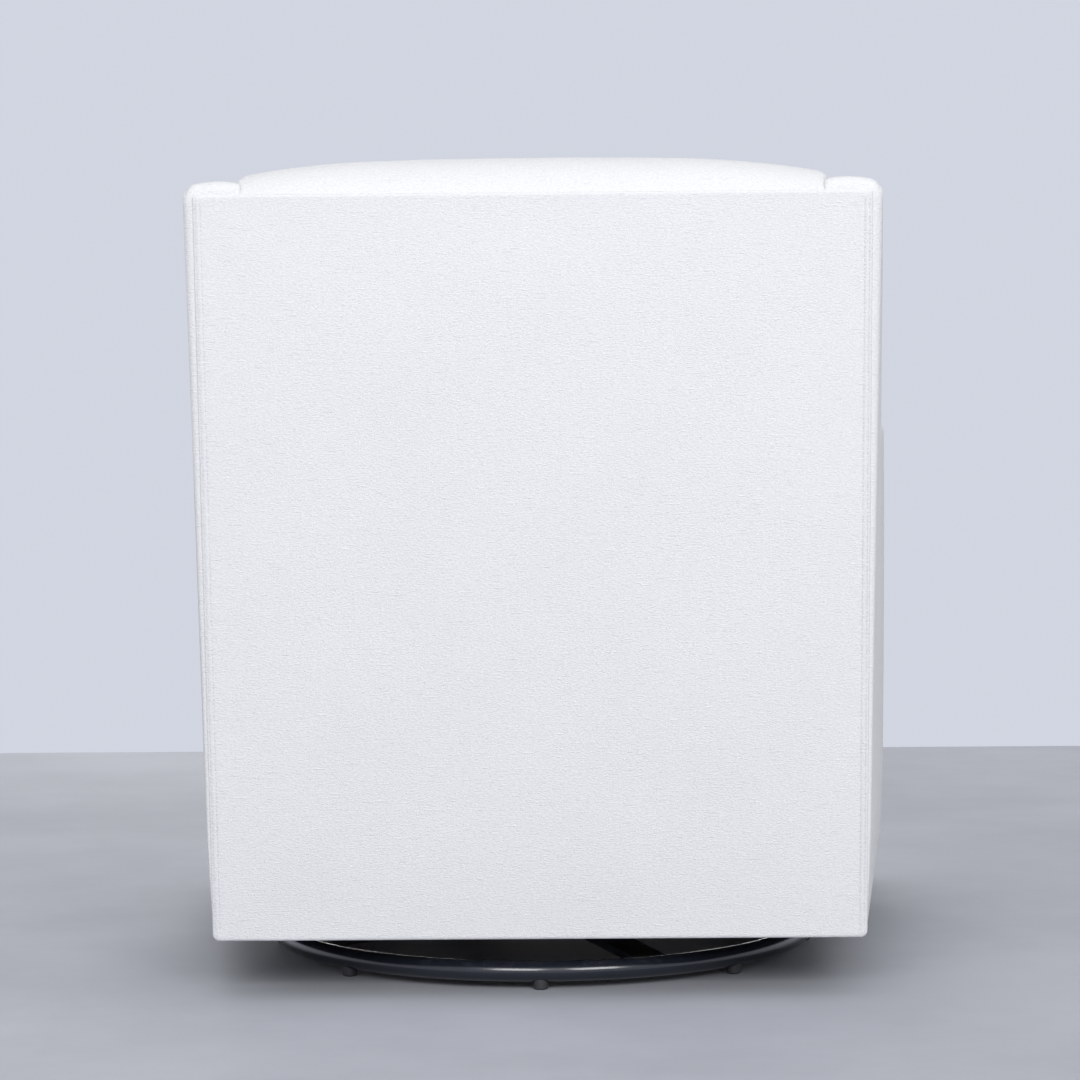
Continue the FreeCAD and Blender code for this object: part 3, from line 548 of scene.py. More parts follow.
def buildOutsideBack(spec):
    half = body["backHalf"]
    corners = [(-half, body["hemZ"], spec["hemRound"]), (half, body["hemZ"], spec["hemRound"]),
               (half, body["backSeamZ"], spec["topRound"]), (-half, body["backSeamZ"], spec["topRound"])]
    loop = roundLoop(corners, spec["step"])
    points, faces, distance = fillPanel(corners, spec["step"], spec["rings"], spec["grid"])
    fromSide = half - np.abs(points[:, 0])
    sewn = np.zeros(len(points))
    for row in spec["rows"]:
        sewn += np.exp(-((fromSide - row) / spec["grooveWidth"]) ** 2)
    felled = spec["fold"] * np.exp(-((fromSide - spec["foldAt"]) / spec["foldWidth"]) ** 2)
    puckers = spec["pucker"] * np.cos(points[:, 1] * 2 * math.pi / spec["puckerPitch"])
    puckers = puckers * np.exp(-fromSide / spec["puckerReach"])
    out = spec["swell"] * swell(distance, spec["reach"]) - ease(distance, spec["rim"]) - spec["groove"] * sewn
    out += felled + puckers * (distance > spec["puckerFrom"])
    out += ripple(points, *spec["wander"]) * swell(distance, spec["wanderReach"]) + ripple(points, *spec["crinkle"])
    verts = list(np.stack([points[:, 0], backY(points[:, 1]) + out, points[:, 1]], 1))
    count = len(loop)
    for depth in spec["lips"]:
        base = len(verts)
        verts += [np.array((u, backY(v) - depth, v)) for u, v in loop]
        upper = 0 if base == len(points) else base - count
        faces += [(upper + (i + 1) % count, upper + i, base + i, base + (i + 1) % count) for i in range(count)]
    panel = makeObject("outsideBack", verts, faces, finishes["white_fabric"], flip=True)
    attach(panel, "seat")
    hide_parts("outside_back")
    many = spec["threadPoints"]
    heights = np.linspace(body["hemZ"] + spec["threadEnds"][0], body["backSeamZ"] - spec["threadEnds"][1], many)
    facing = np.tile((0.0, math.cos(leanAngle), -math.sin(leanAngle)), (many, 1))
    for side, label in ((1, "Left"), (-1, "Right")):
        for number, row in enumerate(spec["rows"]):
            path = np.stack([np.full(many, side * (half - row)), backY(heights) + spec["threadLift"], heights], 1)
            thread = sewRow(f"backSeam{label}{number + 1}", path, facing, spec["pitch"], spec["stitch"],
                            spec["thread"])
            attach(thread, "seat")


buildOutsideBack(outsideBack)
print("outside back sewn")

# side covers: outer and inner panels with a border strip round the arm and wing
sideCover = {"rim": 0.0175, "hemRim": 0.004, "tuckRim": 0.0045, "rimGrows": 0.24, "rimEven": 4, "grid": 0.016,
             "step": 0.008, "behind": 0.0024, "hemRound": 0.006, "noseRound": 0.028, "bendRound": 0.100,
             "wingRound": 0.045, "heelRound": 0.013, "hemBand": 0.0065, "rearBand": 0.002, "lipGap": 0.0006,
             "leastLip": 0.0008, "tuckFromY": 0.262, "tuckRun": 0.06,
             "rings": (0, 0.0005, 0.0014, 0.0028, 0.0044, 0.0053, 0.0062, 0.0071, 0.0086, 0.0110, 0.0140, 0.0175),
             "outSwell": 0.0028, "outReach": 0.11, "inSwell": 0.004, "inReach": 0.07, "inGap": 0.0004,
             "openFromZ": 0.44, "openRunZ": 0.08, "openToY": 0.20, "openRunY": 0.12, "hemDraw": 0.0035,
             "drawToZ": 0.19, "drawRun": 0.13, "wander": (0.0009, 4.3, 3.3), "wanderReach": 0.06, "sewAt": 0.0062,
             "groove": 0.0011, "grooveWidth": 0.0011, "grooveReach": 0.02, "grooveToY": 0.26,
             "frameY": (-0.393, 0.316), "frameGap": 0.002, "across": 9, "crown": 0.0044, "crownTuck": 0.6,
             "crownEven": 3, "turnUnder": 0.014, "turnLift": 0.0006, "pitch": 0.0046, "stitch": 0.0032,
             "thread": 0.00034}


def buildSideCover(spec, side, label):
    rear, seamZ = spec["behind"], body["backSeamZ"]
    corners = [(backY(body["hemZ"]) - rear, body["hemZ"], spec["hemRound"]),
               (body["hemFrontY"], body["hemZ"], spec["hemRound"]),
               (body["armFrontY"], body["armTopZ"], spec["noseRound"]),
               (body["armRearY"], body["armTopZ"] + body["armRise"], spec["bendRound"]),
               (body["wingFrontY"], body["wingTopZ"], spec["wingRound"]),
               (backY(body["wingTopZ"]) - rear, body["wingTopZ"], spec["heelRound"])]
    loop = roundLoop(corners, spec["step"])
    count = len(loop)
    inward = inwardOf(loop)
    onHem = (loop[:, 1] < body["hemZ"] + spec["hemBand"]) & (inward[:, 1] > 0.5)
    onRear = (backY(loop[:, 1]) - loop[:, 0] < rear + spec["rearBand"]) & (loop[:, 1] < seamZ)
    lip = np.maximum(outerHalf(loop[:, 0], loop[:, 1]) - body["backHalf"] - spec["lipGap"], spec["leastLip"])
    grown = np.clip((loop[:, 1] - body["hemZ"]) / spec["rimGrows"], 0, 1)
    radius = spec["hemRim"] + (spec["rim"] - spec["hemRim"]) * grown * grown * (3 - 2 * grown)
    radius = np.where(onRear, lip, np.where(onHem, spec["hemRim"], radius))
    radius = np.where(onRear, lip, evenOut(radius, spec["rimEven"]))
    # inside, the rear of the wing is sewn flat to the roll
    tucked = np.clip((loop[:, 0] - spec["tuckFromY"]) / spec["tuckRun"], 0, 1)
    inRadius = radius + (spec["tuckRim"] - radius) * tucked
    rings = spec["rings"]
    points, faces, distance = fillPanel(corners, spec["step"], rings, spec["grid"])
    rest = np.full(len(points) - count * len(rings), spec["rim"])
    rims = np.concatenate([np.tile(radius, len(rings)), rest])
    inRims = np.concatenate([np.tile(inRadius, len(rings)), rest])
    y, z = points.T
    sewnEdge = np.tile(~(onHem | onRear), len(rings))
    sewnEdge = np.concatenate([sewnEdge, np.zeros(len(points) - len(sewnEdge), bool)])
    groove = spec["groove"] * np.exp(-((distance - spec["sewAt"]) / spec["grooveWidth"]) ** 2) * sewnEdge
    size, scale, seed = spec["wander"]
    wander = ripple(points, size, scale, seed + side) * swell(distance, spec["wanderReach"])
    hemDraw = spec["hemDraw"] * np.clip((spec["drawToZ"] - z) / spec["drawRun"], 0, 1) ** 2
    outSwell = spec["outSwell"] * swell(distance, spec["outReach"])
    outX = outerHalf(y, z) - ease(distance, rims) - groove + outSwell + wander - hemDraw
    # inside, only what stands clear of cushion and back swells
    openShare = np.clip((z - spec["openFromZ"]) / spec["openRunZ"], 0, 1)
    openShare = openShare * np.clip((spec["openToY"] - y) / spec["openRunY"], 0, 1)
    inSwell = spec["inSwell"] * swell(distance, spec["inReach"]) * openShare
    inGroove = groove * (distance < spec["grooveReach"]) * (y < spec["grooveToY"])
    inX = innerHalf(y) + ease(distance, inRims) + inGroove - inSwell + spec["inGap"]
    outer = np.stack([outX, y, z], 1)
    verts = list(outer) + list(np.stack([inX, y, z], 1))
    allFaces = list(faces)
    innerBase = len(outer)
    # the inner panel stops at the deck, where the seat frame passes
    frameFront, frameRear = spec["frameY"]
    for face in faces:
        cy, cz = points[list(face)].mean(0)
        if frameFront < cy < frameRear and cz < body["deckTopZ"] - spec["frameGap"]:
            continue
        allFaces.append(tuple(innerBase + i for i in face[::-1]))
    # border strip from rim to rim, flat behind the outside back
    stripBase = len(verts)
    for share in np.linspace(0, 1, spec["across"]):
        x = outX[:count] + (inX[:count] - outX[:count]) * share
        bulge = spec["crown"] * (1 - (2 * share - 1) ** 2) * (1 - spec["crownTuck"] * tucked)
        bulge = evenOut(np.where(onRear, 0.0, bulge), spec["crownEven"])
        place = loop - inward * bulge[:, None]
        verts += list(np.stack([x, place[:, 0], place[:, 1]], 1))
    for i in range(count):
        j = (i + 1) % count
        if onHem[i] and onHem[j]:
            continue
        for k in range(spec["across"] - 1):
            a = stripBase + k * count
            allFaces.append((a + j, a + i, a + count + i, a + count + j))
    # hem turned under the frame
    turned = len(verts)
    verts += list(np.stack([outX[:count] - spec["turnUnder"], loop[:, 0], loop[:, 1] + spec["turnLift"]], 1))
    for i in range(count):
        j = (i + 1) % count
        if onHem[i] and onHem[j]:
            allFaces.append((j, i, turned + i, turned + j))
    verts = np.array(verts)
    verts[:, 0] *= side
    cover = makeObject(f"sideCover{label}", verts, allFaces, finishes["white_fabric"], flip=side < 0)
    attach(cover, "seat")
    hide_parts(f"side_cover_{label.lower()}")
    # thread along the seam on the outer face, from the front hem over arm and wing
    ring = rings.index(spec["sewAt"])
    order = [i for i in range(count) if not (onHem[i] or onRear[i])]
    breaks = [n for n in range(1, len(order)) if order[n] != order[n - 1] + 1]
    if breaks:
        order = order[breaks[0]:] + order[:breaks[0]]
    row = outer[ring * count:(ring + 1) * count][order].copy()
    row[:, 0] *= side
    facing = np.tile((float(side), 0.0, 0.0), (len(row), 1))
    thread = sewRow(f"sideSeam{label}", row, facing, spec["pitch"], spec["stitch"], spec["thread"])
    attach(thread, "seat")


buildSideCover(sideCover, 1, "Left")
buildSideCover(sideCover, -1, "Right")
print("side covers sewn")

# front border under the cushion
frontBorder = {"rim": 0.009, "depth": 0.022, "swell": 0.004, "reach": 0.06, "grid": 0.014, "step": 0.007,
               "rings": (0, 0.0006, 0.0016, 0.0032, 0.0052, 0.0075, 0.010, 0.015), "hemRound": 0.006,
               "topRound": 0.008, "sideGap": 0.0012, "frontY": -0.430, "topZ": 0.308, "wander": (0.0010, 5.0, 8.8),
               "wanderReach": 0.05}


def buildFrontBorder(spec):
    half = innerHalf(spec["frontY"]) - spec["sideGap"]
    corners = [(-half, body["hemZ"], spec["hemRound"]), (half, body["hemZ"], spec["hemRound"]),
               (half, spec["topZ"], spec["topRound"]), (-half, spec["topZ"], spec["topRound"])]
    loop = roundLoop(corners, spec["step"])
    points, faces, distance = fillPanel(corners, spec["step"], spec["rings"], spec["grid"])
    out = spec["swell"] * swell(distance, spec["reach"]) - ease(distance, spec["rim"])
    out += ripple(points, *spec["wander"]) * swell(distance, spec["wanderReach"])
    verts = list(np.stack([points[:, 0], spec["frontY"] - out, points[:, 1]], 1))
    count = len(loop)
    base = len(verts)
    verts += [np.array((u, spec["frontY"] + spec["depth"], v)) for u, v in loop]
    faces += [((i + 1) % count, i, base + i, base + (i + 1) % count) for i in range(count)]
    border = makeObject("frontBorder", verts, faces, finishes["white_fabric"])
    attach(border, "seat")
    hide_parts("front_border")


buildFrontBorder(frontBorder)
print("front border sewn")


# arc from a to c by way of b
def arcThrough(a, b, c, count):
    a, b, c = [np.array(p, float) for p in (a, b, c)]
    d = 2 * (a[0] * (b[1] - c[1]) + b[0] * (c[1] - a[1]) + c[0] * (a[1] - b[1]))
    ux = ((a @ a) * (b[1] - c[1]) + (b @ b) * (c[1] - a[1]) + (c @ c) * (a[1] - b[1])) / d
    uy = ((a @ a) * (c[0] - b[0]) + (b @ b) * (a[0] - c[0]) + (c @ c) * (b[0] - a[0])) / d
    centre = np.array((ux, uy))
    radius = np.linalg.norm(a - centre)
    start, via, end = [math.atan2(*(p - centre)[::-1]) for p in (a, b, c)]
    turn = (via - start) % (2 * math.pi)
    full = (end - start) % (2 * math.pi)
    sweep = full if turn < full else full - 2 * math.pi
    angles = start + sweep * np.linspace(0, 1, count)
    return centre + radius * np.stack([np.cos(angles), np.sin(angles)], 1)


# cloth swells under pressure for a few frames; no point sinks or moves further than the cap
clothRun = {"quality": 6, "mass": 0.25, "stretch": 18, "shear": 6, "bending": 0.6, "air": 2, "frames": 20,
            "evenRounds": 24, "evenShare": 0.6}


def settleCloth(piece, pin, pressure, cap):
    rest = np.array([v.co for v in piece.data.vertices])
    facing = np.array([v.normal for v in piece.data.vertices])
    group = piece.vertex_groups.new(name="pinned")
    group.add([int(i) for i in np.nonzero(pin)[0]], 1.0, "REPLACE")
    cloth = piece.modifiers.new("cloth", "CLOTH")
    cloth.settings.quality = clothRun["quality"]
    cloth.settings.mass = clothRun["mass"]
    cloth.settings.tension_stiffness = cloth.settings.compression_stiffness = clothRun["stretch"]
    cloth.settings.shear_stiffness = clothRun["shear"]
    cloth.settings.bending_stiffness = clothRun["bending"]
    cloth.settings.air_damping = clothRun["air"]
    cloth.settings.use_pressure = True
    cloth.settings.uniform_pressure_force = pressure
    cloth.settings.vertex_group_mass = "pinned"
    cloth.settings.effector_weights.gravity = 0
    cloth.collision_settings.use_collision = False
    cloth.point_cache.frame_start = 1
    cloth.point_cache.frame_end = clothRun["frames"]
    for number in range(1, clothRun["frames"] + 1):
        scene.frame_set(number)
    shaped = piece.evaluated_get(bpy.context.evaluated_depsgraph_get()).to_mesh()
    moved = np.array([v.co for v in shaped.vertices]) - rest
    piece.modifiers.clear()
    scene.frame_set(1)
    # even the swelling out between neighbours, seams stay where they are sewn
    ends = np.array([e.vertices[:] for e in piece.data.edges])
    shares = np.bincount(ends.ravel(), minlength=len(rest))[:, None]
    even = clothRun["evenShare"]
    for _ in range(clothRun["evenRounds"]):
        around = np.zeros_like(moved)
        np.add.at(around, ends[:, 0], moved[ends[:, 1]])
        np.add.at(around, ends[:, 1], moved[ends[:, 0]])
        moved = np.where(pin[:, None], moved, (1 - even) * moved + even * around / shares)
    sunk = np.minimum((moved * facing).sum(1), 0)
    moved = moved - facing * sunk[:, None]  # padding pushes out only
    size = np.linalg.norm(moved, axis=1)
    limit = np.minimum(1.0, cap / np.maximum(size, 1e-9))
    final = rest + moved * limit[:, None]
    piece.data.vertices.foreach_set("co", final.astype(np.float32).ravel())
    piece.data.update()
    outward = (moved * facing).sum(1).mean()
    print(piece.name, "settled, largest move %.1f mm before the cap, mean outward %.1f mm"
          % (size.max() * 1000, outward * 1000))
    return final


# inside back: padded face that rolls over the top between the wings
insideBack = {"seamDepth": 0.0030, "rollDepth": 0.085, "browDepth": 0.172, "browDrop": 0.070, "chestDepth": 0.238,
              "chestZ": 0.640, "waistDepth": 0.280, "waistZ": 0.440, "hipDepth": 0.278, "hipZ": 0.39,
              "heelDepth": 0.272, "heelZ": 0.345, "toeDepth": 0.250, "toeGap": 0.0012, "seamDrop": 0.0015,
              "points": (40, 52, 16), "smooth": 14, "depthPower": 1.5, "browRun": 10, "sideDrop": 0.0189,
              "sidePower": 4.0, "endRound": 0.010, "endShare": 0.55, "endHalf": 0.299, "fold": 0.055,
              "foldKeep": 0.012, "columns": 91, "bunched": 0.35, "sideGap": -0.0040, "pinShare": 0.985,
              "pinRows": (4, 6), "pressure": 3.0, "cap": 0.010, "freeRun": 0.06, "crownOver": 0.003,
              "pulls": ((0.0010, 6.0, 2.4), (0.0005, 17.0, 6.1))}


def buildInsideBack(spec):
    onRoll, onFace, onTail = spec["points"]
    seam = (spec["seamDepth"], body["backSeamZ"] - spec["seamDrop"])
    brow = (spec["browDepth"], body["crownZ"] - spec["browDrop"])
    waist = (spec["waistDepth"], spec["waistZ"])
    roll = arcThrough(seam, (spec["rollDepth"], body["crownZ"]), brow, onRoll)
    face = arcThrough(brow, (spec["chestDepth"], spec["chestZ"]), waist, onFace)
    low = np.array([waist, (spec["hipDepth"], spec["hipZ"]), (spec["heelDepth"], spec["heelZ"]),
                    (spec["toeDepth"], body["deckTopZ"] + spec["toeGap"])])
    spots = np.linspace(0, len(low) - 1, onTail)[1:]
    tail = np.stack([np.interp(spots, range(len(low)), low[:, i]) for i in range(2)], 1)
    profile = np.concatenate([roll, face[1:], tail])
    for _ in range(spec["smooth"]):
        profile[1:-1] = profile[1:-1] * 0.5 + (profile[:-2] + profile[2:]) * 0.25
    top = np.argmax(profile[:, 1])
    steps = np.arange(len(profile))
    browAt = len(roll) - 1
    dropEnd = browAt + spec["browRun"]
    inDepth = np.clip(steps / browAt, 0, 1) ** spec["depthPower"]
    pastTop = np.clip((dropEnd - steps) / (dropEnd - top), 0, 1)
    inHeight = np.where(steps <= top, np.clip(steps / top, 0, 1), pastTop)
    even = np.linspace(-1, 1, spec["columns"])
    spread = spec["bunched"] * np.sin(even * math.pi / 2) + (1 - spec["bunched"]) * even
    shares = np.concatenate([[-1.0], spread, [1.0]])
    pinTop, pinLow = spec["pinRows"]
    verts, pinned = [], []
    for column, share in enumerate(shares):
        fold = spec["fold"] if column in (0, len(shares) - 1) else 0.0
        drop = spec["sideDrop"] * abs(share) ** spec["sidePower"]
        fromEnd = np.array([max(spec["endHalf"] * (1 - abs(share)), 0.0)])
        drop = drop + spec["endShare"] * ease(fromEnd, spec["endRound"])[0]
        depth = profile[:, 0] - drop * inDepth
        depth = np.where(fold > 0, np.maximum(depth - fold, np.minimum(depth, spec["foldKeep"])), depth)
        z = profile[:, 1] - drop * inHeight
        y = backY(z) - depth
        half = innerHalf(y) - spec["sideGap"]
        verts += list(np.stack([share * half, y, z], 1))
        atSide = fold > 0 or abs(share) > spec["pinShare"]
        pinned += [atSide or s < pinTop or s > len(profile) - pinLow for s in steps]
    rows = len(profile)
    faces = [(c * rows + r, c * rows + r + 1, (c + 1) * rows + r + 1, (c + 1) * rows + r)
             for c in range(len(shares) - 1) for r in range(rows - 1)]
    pad = makeObject("insideBack", verts, faces, finishes["white_fabric"])
    # welding changes the order of points, so each one looks up its own pin
    near = kdtree.KDTree(len(verts))
    for i, p in enumerate(verts):
        near.insert(p, i)
    near.balance()
    flags = np.array([pinned[near.find(v.co)[1]] for v in pad.data.vertices])
    settleCloth(pad, flags, spec["pressure"], spec["cap"])
    points = np.array([v.co for v in pad.data.vertices])
    normals = np.array([v.normal for v in pad.data.vertices])
    free = np.clip((innerHalf(points[:, 1]) - np.abs(points[:, 0])) / spec["freeRun"], 0, 1)
    pulls = sum(ripple(points[:, [0, 2]], *pull) for pull in spec["pulls"])
    points = points + normals * (pulls * free)[:, None]
    points[:, 2] = np.minimum(points[:, 2], body["crownZ"] + spec["crownOver"])
    limit = innerHalf(points[:, 1]) - spec["sideGap"]
    points[:, 0] = np.clip(points[:, 0], -limit, limit)
    pad.data.vertices.foreach_set("co", points.astype(np.float32).ravel())
    pad.data.update()
    finer = pad.modifiers.new("finer", "SUBSURF")
    finer.levels = finer.render_levels = 1
    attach(pad, "seat")
    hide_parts("inside_back")


buildInsideBack(insideBack)
print("inside back padded")

# seat cushion: top and bottom panels with a boxing band between, sewn round both edges
seatCushion = {"frontY": -0.4425, "rearY": 0.093, "inset": 0.0052, "round": 0.024, "seamZ": 0.4260, "lowZ": 0.3135,
               "crown": 0.034, "crownPower": 0.85, "endFall": 0.75, "endPower": 4, "frontFall": 0.026,
               "frontRun": 0.034, "rearFall": 0.018, "rearRun": 0.026, "seamDip": 0.0040, "dipRun": 0.0055,
               "lowDip": 0.8, "frontLift": 0.014, "rearLift": 0.008, "liftRun": 0.03, "band": 0.0042,
               "bandPower": 0.6, "lip": 0.0012, "lipRun": 0.003, "grid": 0.011, "step": 0.008,
               "rings": (0, 0.0008, 0.0018, 0.003, 0.0045, 0.006, 0.008, 0.011, 0.016), "rows": 17, "pressure": 4.0,
               "cap": 0.009, "freeRun": 0.1, "pulls": ((0.0016, 5.0, 4.4), (0.0005, 19.0, 9.1)), "frontOver": 0.009,
               "rearOver": 0.008, "sideGap": 0.0012, "sewAt": 0.0060, "pitch": 0.0048, "stitch": 0.0034,
               "thread": 0.00036}


def buildSeatCushion(spec):
    front, rear = spec["frontY"], spec["rearY"]
    frontHalf, rearHalf = innerHalf(front) - spec["inset"], innerHalf(rear) - spec["inset"]
    corners = [(-frontHalf, front, spec["round"]), (frontHalf, front, spec["round"]),
               (rearHalf, rear, spec["round"]), (-rearHalf, rear, spec["round"])]
    loop = roundLoop(corners, spec["step"])
    count = len(loop)
    points, faces, distance = fillPanel(corners, spec["step"], spec["rings"], spec["grid"])
    x, y = points.T
    half = innerHalf(y) - spec["inset"]
    along = np.clip((y - (front + rear) / 2) / ((rear - front) / 2), -1, 1)
    crown = spec["crown"] * np.clip(1 - (x / half) ** 2, 0, 1) ** spec["crownPower"]
    crown = crown * (1 - spec["endFall"] * along ** spec["endPower"])
    fall = ease(y - front, spec["frontRun"]) * spec["frontFall"] / spec["frontRun"]
    fall = fall + ease(rear - y, spec["rearRun"]) * spec["rearFall"] / spec["rearRun"]
    dip = ease(distance, spec["dipRun"]) * spec["seamDip"] / spec["dipRun"]
    top = np.stack([x, y, spec["seamZ"] + crown - fall - dip], 1)
    lift = spec["frontLift"] * np.clip(1 - (y - front) / spec["liftRun"], 0, 1) ** 2
    lift = lift + spec["rearLift"] * np.clip(1 - (rear - y) / spec["liftRun"], 0, 1) ** 2
    low = np.stack([x, y, spec["lowZ"] + lift + dip * spec["lowDip"]], 1)
    total = len(points)
    verts = list(top) + list(low)
    allFaces = list(faces) + [tuple(total + i for i in face[::-1]) for face in faces]
    # boxing band, bowed out between the seams
    outward = -inwardOf(loop)
    topZ, lowZ = top[:count, 2], low[:count, 2]
    last = 0
    for row in range(1, spec["rows"] + 1):
        share = row / spec["rows"]
        if row < spec["rows"]:
            height = topZ + (lowZ - topZ) * share
            run = np.minimum(topZ - height, height - lowZ)
            bow = spec["band"] * math.sin(math.pi * share) ** spec["bandPower"]
            bow = bow + spec["lip"] * (1 - np.exp(-run / spec["lipRun"]))
            start = len(verts)
            verts += list(np.column_stack([points[:count] + outward * bow[:, None], height]))
        else:
            start = total
        for i in range(count):
            j = (i + 1) % count
            allFaces.append((last + i, start + i, start + j, last + j))
        last = start
    pad = makeObject("seatCushion", verts, allFaces, finishes["white_fabric"])
    mesh = pad.data
    points = np.array([v.co for v in mesh.vertices])
    sewn = np.zeros(len(points), bool)
    sewn[:count] = True
    sewn[total:total * 2] = True
    points = settleCloth(pad, sewn, spec["pressure"], spec["cap"])
    normals = np.array([v.normal for v in mesh.vertices])
    free = np.clip((points[:, 2] - spec["lowZ"]) / spec["freeRun"], 0, 1)
    free[:count] = 0
    pulls = sum(ripple(points, *pull) for pull in spec["pulls"])
    points = points + normals * (pulls * free)[:, None]
    limit = innerHalf(points[:, 1]) - spec["sideGap"]
    points[:, 0] = np.clip(points[:, 0], -limit, limit)
    points[:, 1] = np.clip(points[:, 1], front - spec["frontOver"], rear + spec["rearOver"])
    mesh.vertices.foreach_set("co", points.astype(np.float32).ravel())
    mesh.update()
    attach(pad, "seat")
    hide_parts("seat_cushion")
    normals = np.array([v.normal for v in mesh.vertices])
    for label, first in (("Top", spec["rings"].index(spec["sewAt"]) * count), ("Band", 2 * total)):
        row = list(range(first, first + count)) + [first]
        thread = sewRow(f"cushionSeam{label}", points[row], normals[row], spec["pitch"], spec["stitch"],
                        spec["thread"])
        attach(thread, "seat")


buildSeatCushion(seatCushion)
print("seat cushion padded")

# underside: dust cloth with its window, straps and deck wadding
dustCloth = {"z": 0.0630, "sag": 0.0022, "frontY": -0.394, "rearY": 0.3127, "windowX": 0.215, "windowY": 0.195,
             "margin": 0.0093, "rows": (10, 19, 8), "sideColumns": 10, "midColumns": 21, "slackRun": 0.05,
             "evenSag": 0.8, "wave": 0.4, "waveScale": 14, "waveSeed": 0.3}


def buildDustCloth(spec):
    windowX, windowY, scale = spec["windowX"], spec["windowY"], spec["waveScale"]
    ahead, beside, behind = spec["rows"]
    ys = np.concatenate([np.linspace(spec["frontY"], -windowY, ahead), np.linspace(-windowY, windowY, beside)[1:],
                         np.linspace(windowY, spec["rearY"], behind)[1:]])
    verts = []
    for y in ys:
        half = hemHalf(y) - spec["margin"]
        side = np.linspace(windowX, half, spec["sideColumns"])
        xs = np.concatenate([-side[::-1], np.linspace(-windowX, windowX, spec["midColumns"])[1:-1], side])
        for x in xs:
            inX = min(half - abs(x), abs(abs(x) - windowX) if abs(y) < windowY else 1.0)
            inY = min(y - spec["frontY"], spec["rearY"] - y)
            slack = min(1.0, max(0.0, min(inX, inY)) / spec["slackRun"])
            wave = spec["wave"] * noise.noise(Vector((x * scale, y * scale, spec["waveSeed"])))
            verts.append((x, y, spec["z"] - spec["sag"] * slack * (spec["evenSag"] + wave)))
    wide = len(xs)
    faces = []
    for r in range(len(ys) - 1):
        for c in range(wide - 1):
            mx = (verts[r * wide + c][0] + verts[r * wide + c + 1][0]) / 2
            my = (ys[r] + ys[r + 1]) / 2
            if abs(mx) < windowX and abs(my) < windowY:
                continue
            faces.append((r * wide + c, r * wide + wide + c, r * wide + wide + c + 1, r * wide + c + 1))
    cloth = makeObject("dustCloth", verts, faces, finishes["dust_cloth"])
    loose = bmesh.new()
    loose.from_mesh(cloth.data)
    bmesh.ops.delete(loose, geom=[v for v in loose.verts if not v.link_faces], context="VERTS")
    loose.to_mesh(cloth.data)
    loose.free()
    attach(cloth, "seat")
    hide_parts("dust_cover")


buildDustCloth(dustCloth)

# each solid of the webbing becomes a flat woven strap with soft edges and a little slack
straps = {"thick": 0.0024, "fill": 0.98, "sag": 0.0010, "rows": 25, "level": 0.7, "weld": 0.00001,
          "section": ((-1, 0.3), (-0.985, 1.0), (-0.5, 1.0), (0, 1.0), (0.5, 1.0), (0.985, 1.0), (1, 0.3))}


def buildStraps(spec, name, node):
    ring = list(spec["section"]) + [(w, -h) for w, h in spec["section"][::-1]]
    rows = spec["rows"]
    source = bmesh.new()
    source.from_mesh(nodes[node].data)
    bmesh.ops.remove_doubles(source, verts=source.verts, dist=spec["weld"])
    todo = dict.fromkeys(source.verts)  # in order, so that each run is the same
    verts, faces = [], []
    while todo:
        group, front = [], [todo.popitem()[0]]
        while front:
            v = front.pop()
            group.append(v)
            for e in v.link_edges:
                o = e.other_vert(v)
                if o in todo:
                    del todo[o]
                    front.append(o)
        pts = np.array([v.co for v in group])
        centre = pts.mean(0)
        _, _, axes = np.linalg.svd(pts - centre)
        local = (pts - centre) @ axes.T
        size = np.abs(local).max(0)
        long, wide, thin = axes[0] * size[0], axes[1] * size[1], axes[2]
        base = len(verts)
        for r in range(rows):
            t = -1 + 2 * r / (rows - 1)
            slack = np.array((0, 0, -spec["sag"] * (1 - t * t))) if abs(thin[2]) > spec["level"] else np.zeros(3)
            for w, h in ring:
                verts.append(centre + long * t + wide * w + thin * h * spec["thick"] / 2 * spec["fill"] + slack)
        for r in range(rows - 1):
            for i in range(len(ring)):
                j = (i + 1) % len(ring)
                a = base + r * len(ring)
                faces.append((a + i, a + j, a + len(ring) + j, a + len(ring) + i))
        faces.append(tuple(base + i for i in range(len(ring)))[::-1])
        faces.append(tuple(base + (rows - 1) * len(ring) + i for i in range(len(ring))))
    source.free()
    piece = makeObject(name, verts, faces, finishes["webbing"])
    fixed = bmesh.new()
    fixed.from_mesh(piece.data)
    bmesh.ops.recalc_face_normals(fixed, faces=fixed.faces)
    fixed.to_mesh(piece.data)
    fixed.free()
    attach(piece, "seat")
    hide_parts(node)


buildStraps(straps, "seatStraps", "seat_webbing")
buildStraps(straps, "backStraps", "back_webbing")

deckPad = {"inset": 0.0006, "sideGap": 0.001, "round": 0.006, "quilt": 0.0008, "quiltScale": 70, "underQuilt": 0.3,
           "rows": 56, "columns": 49}


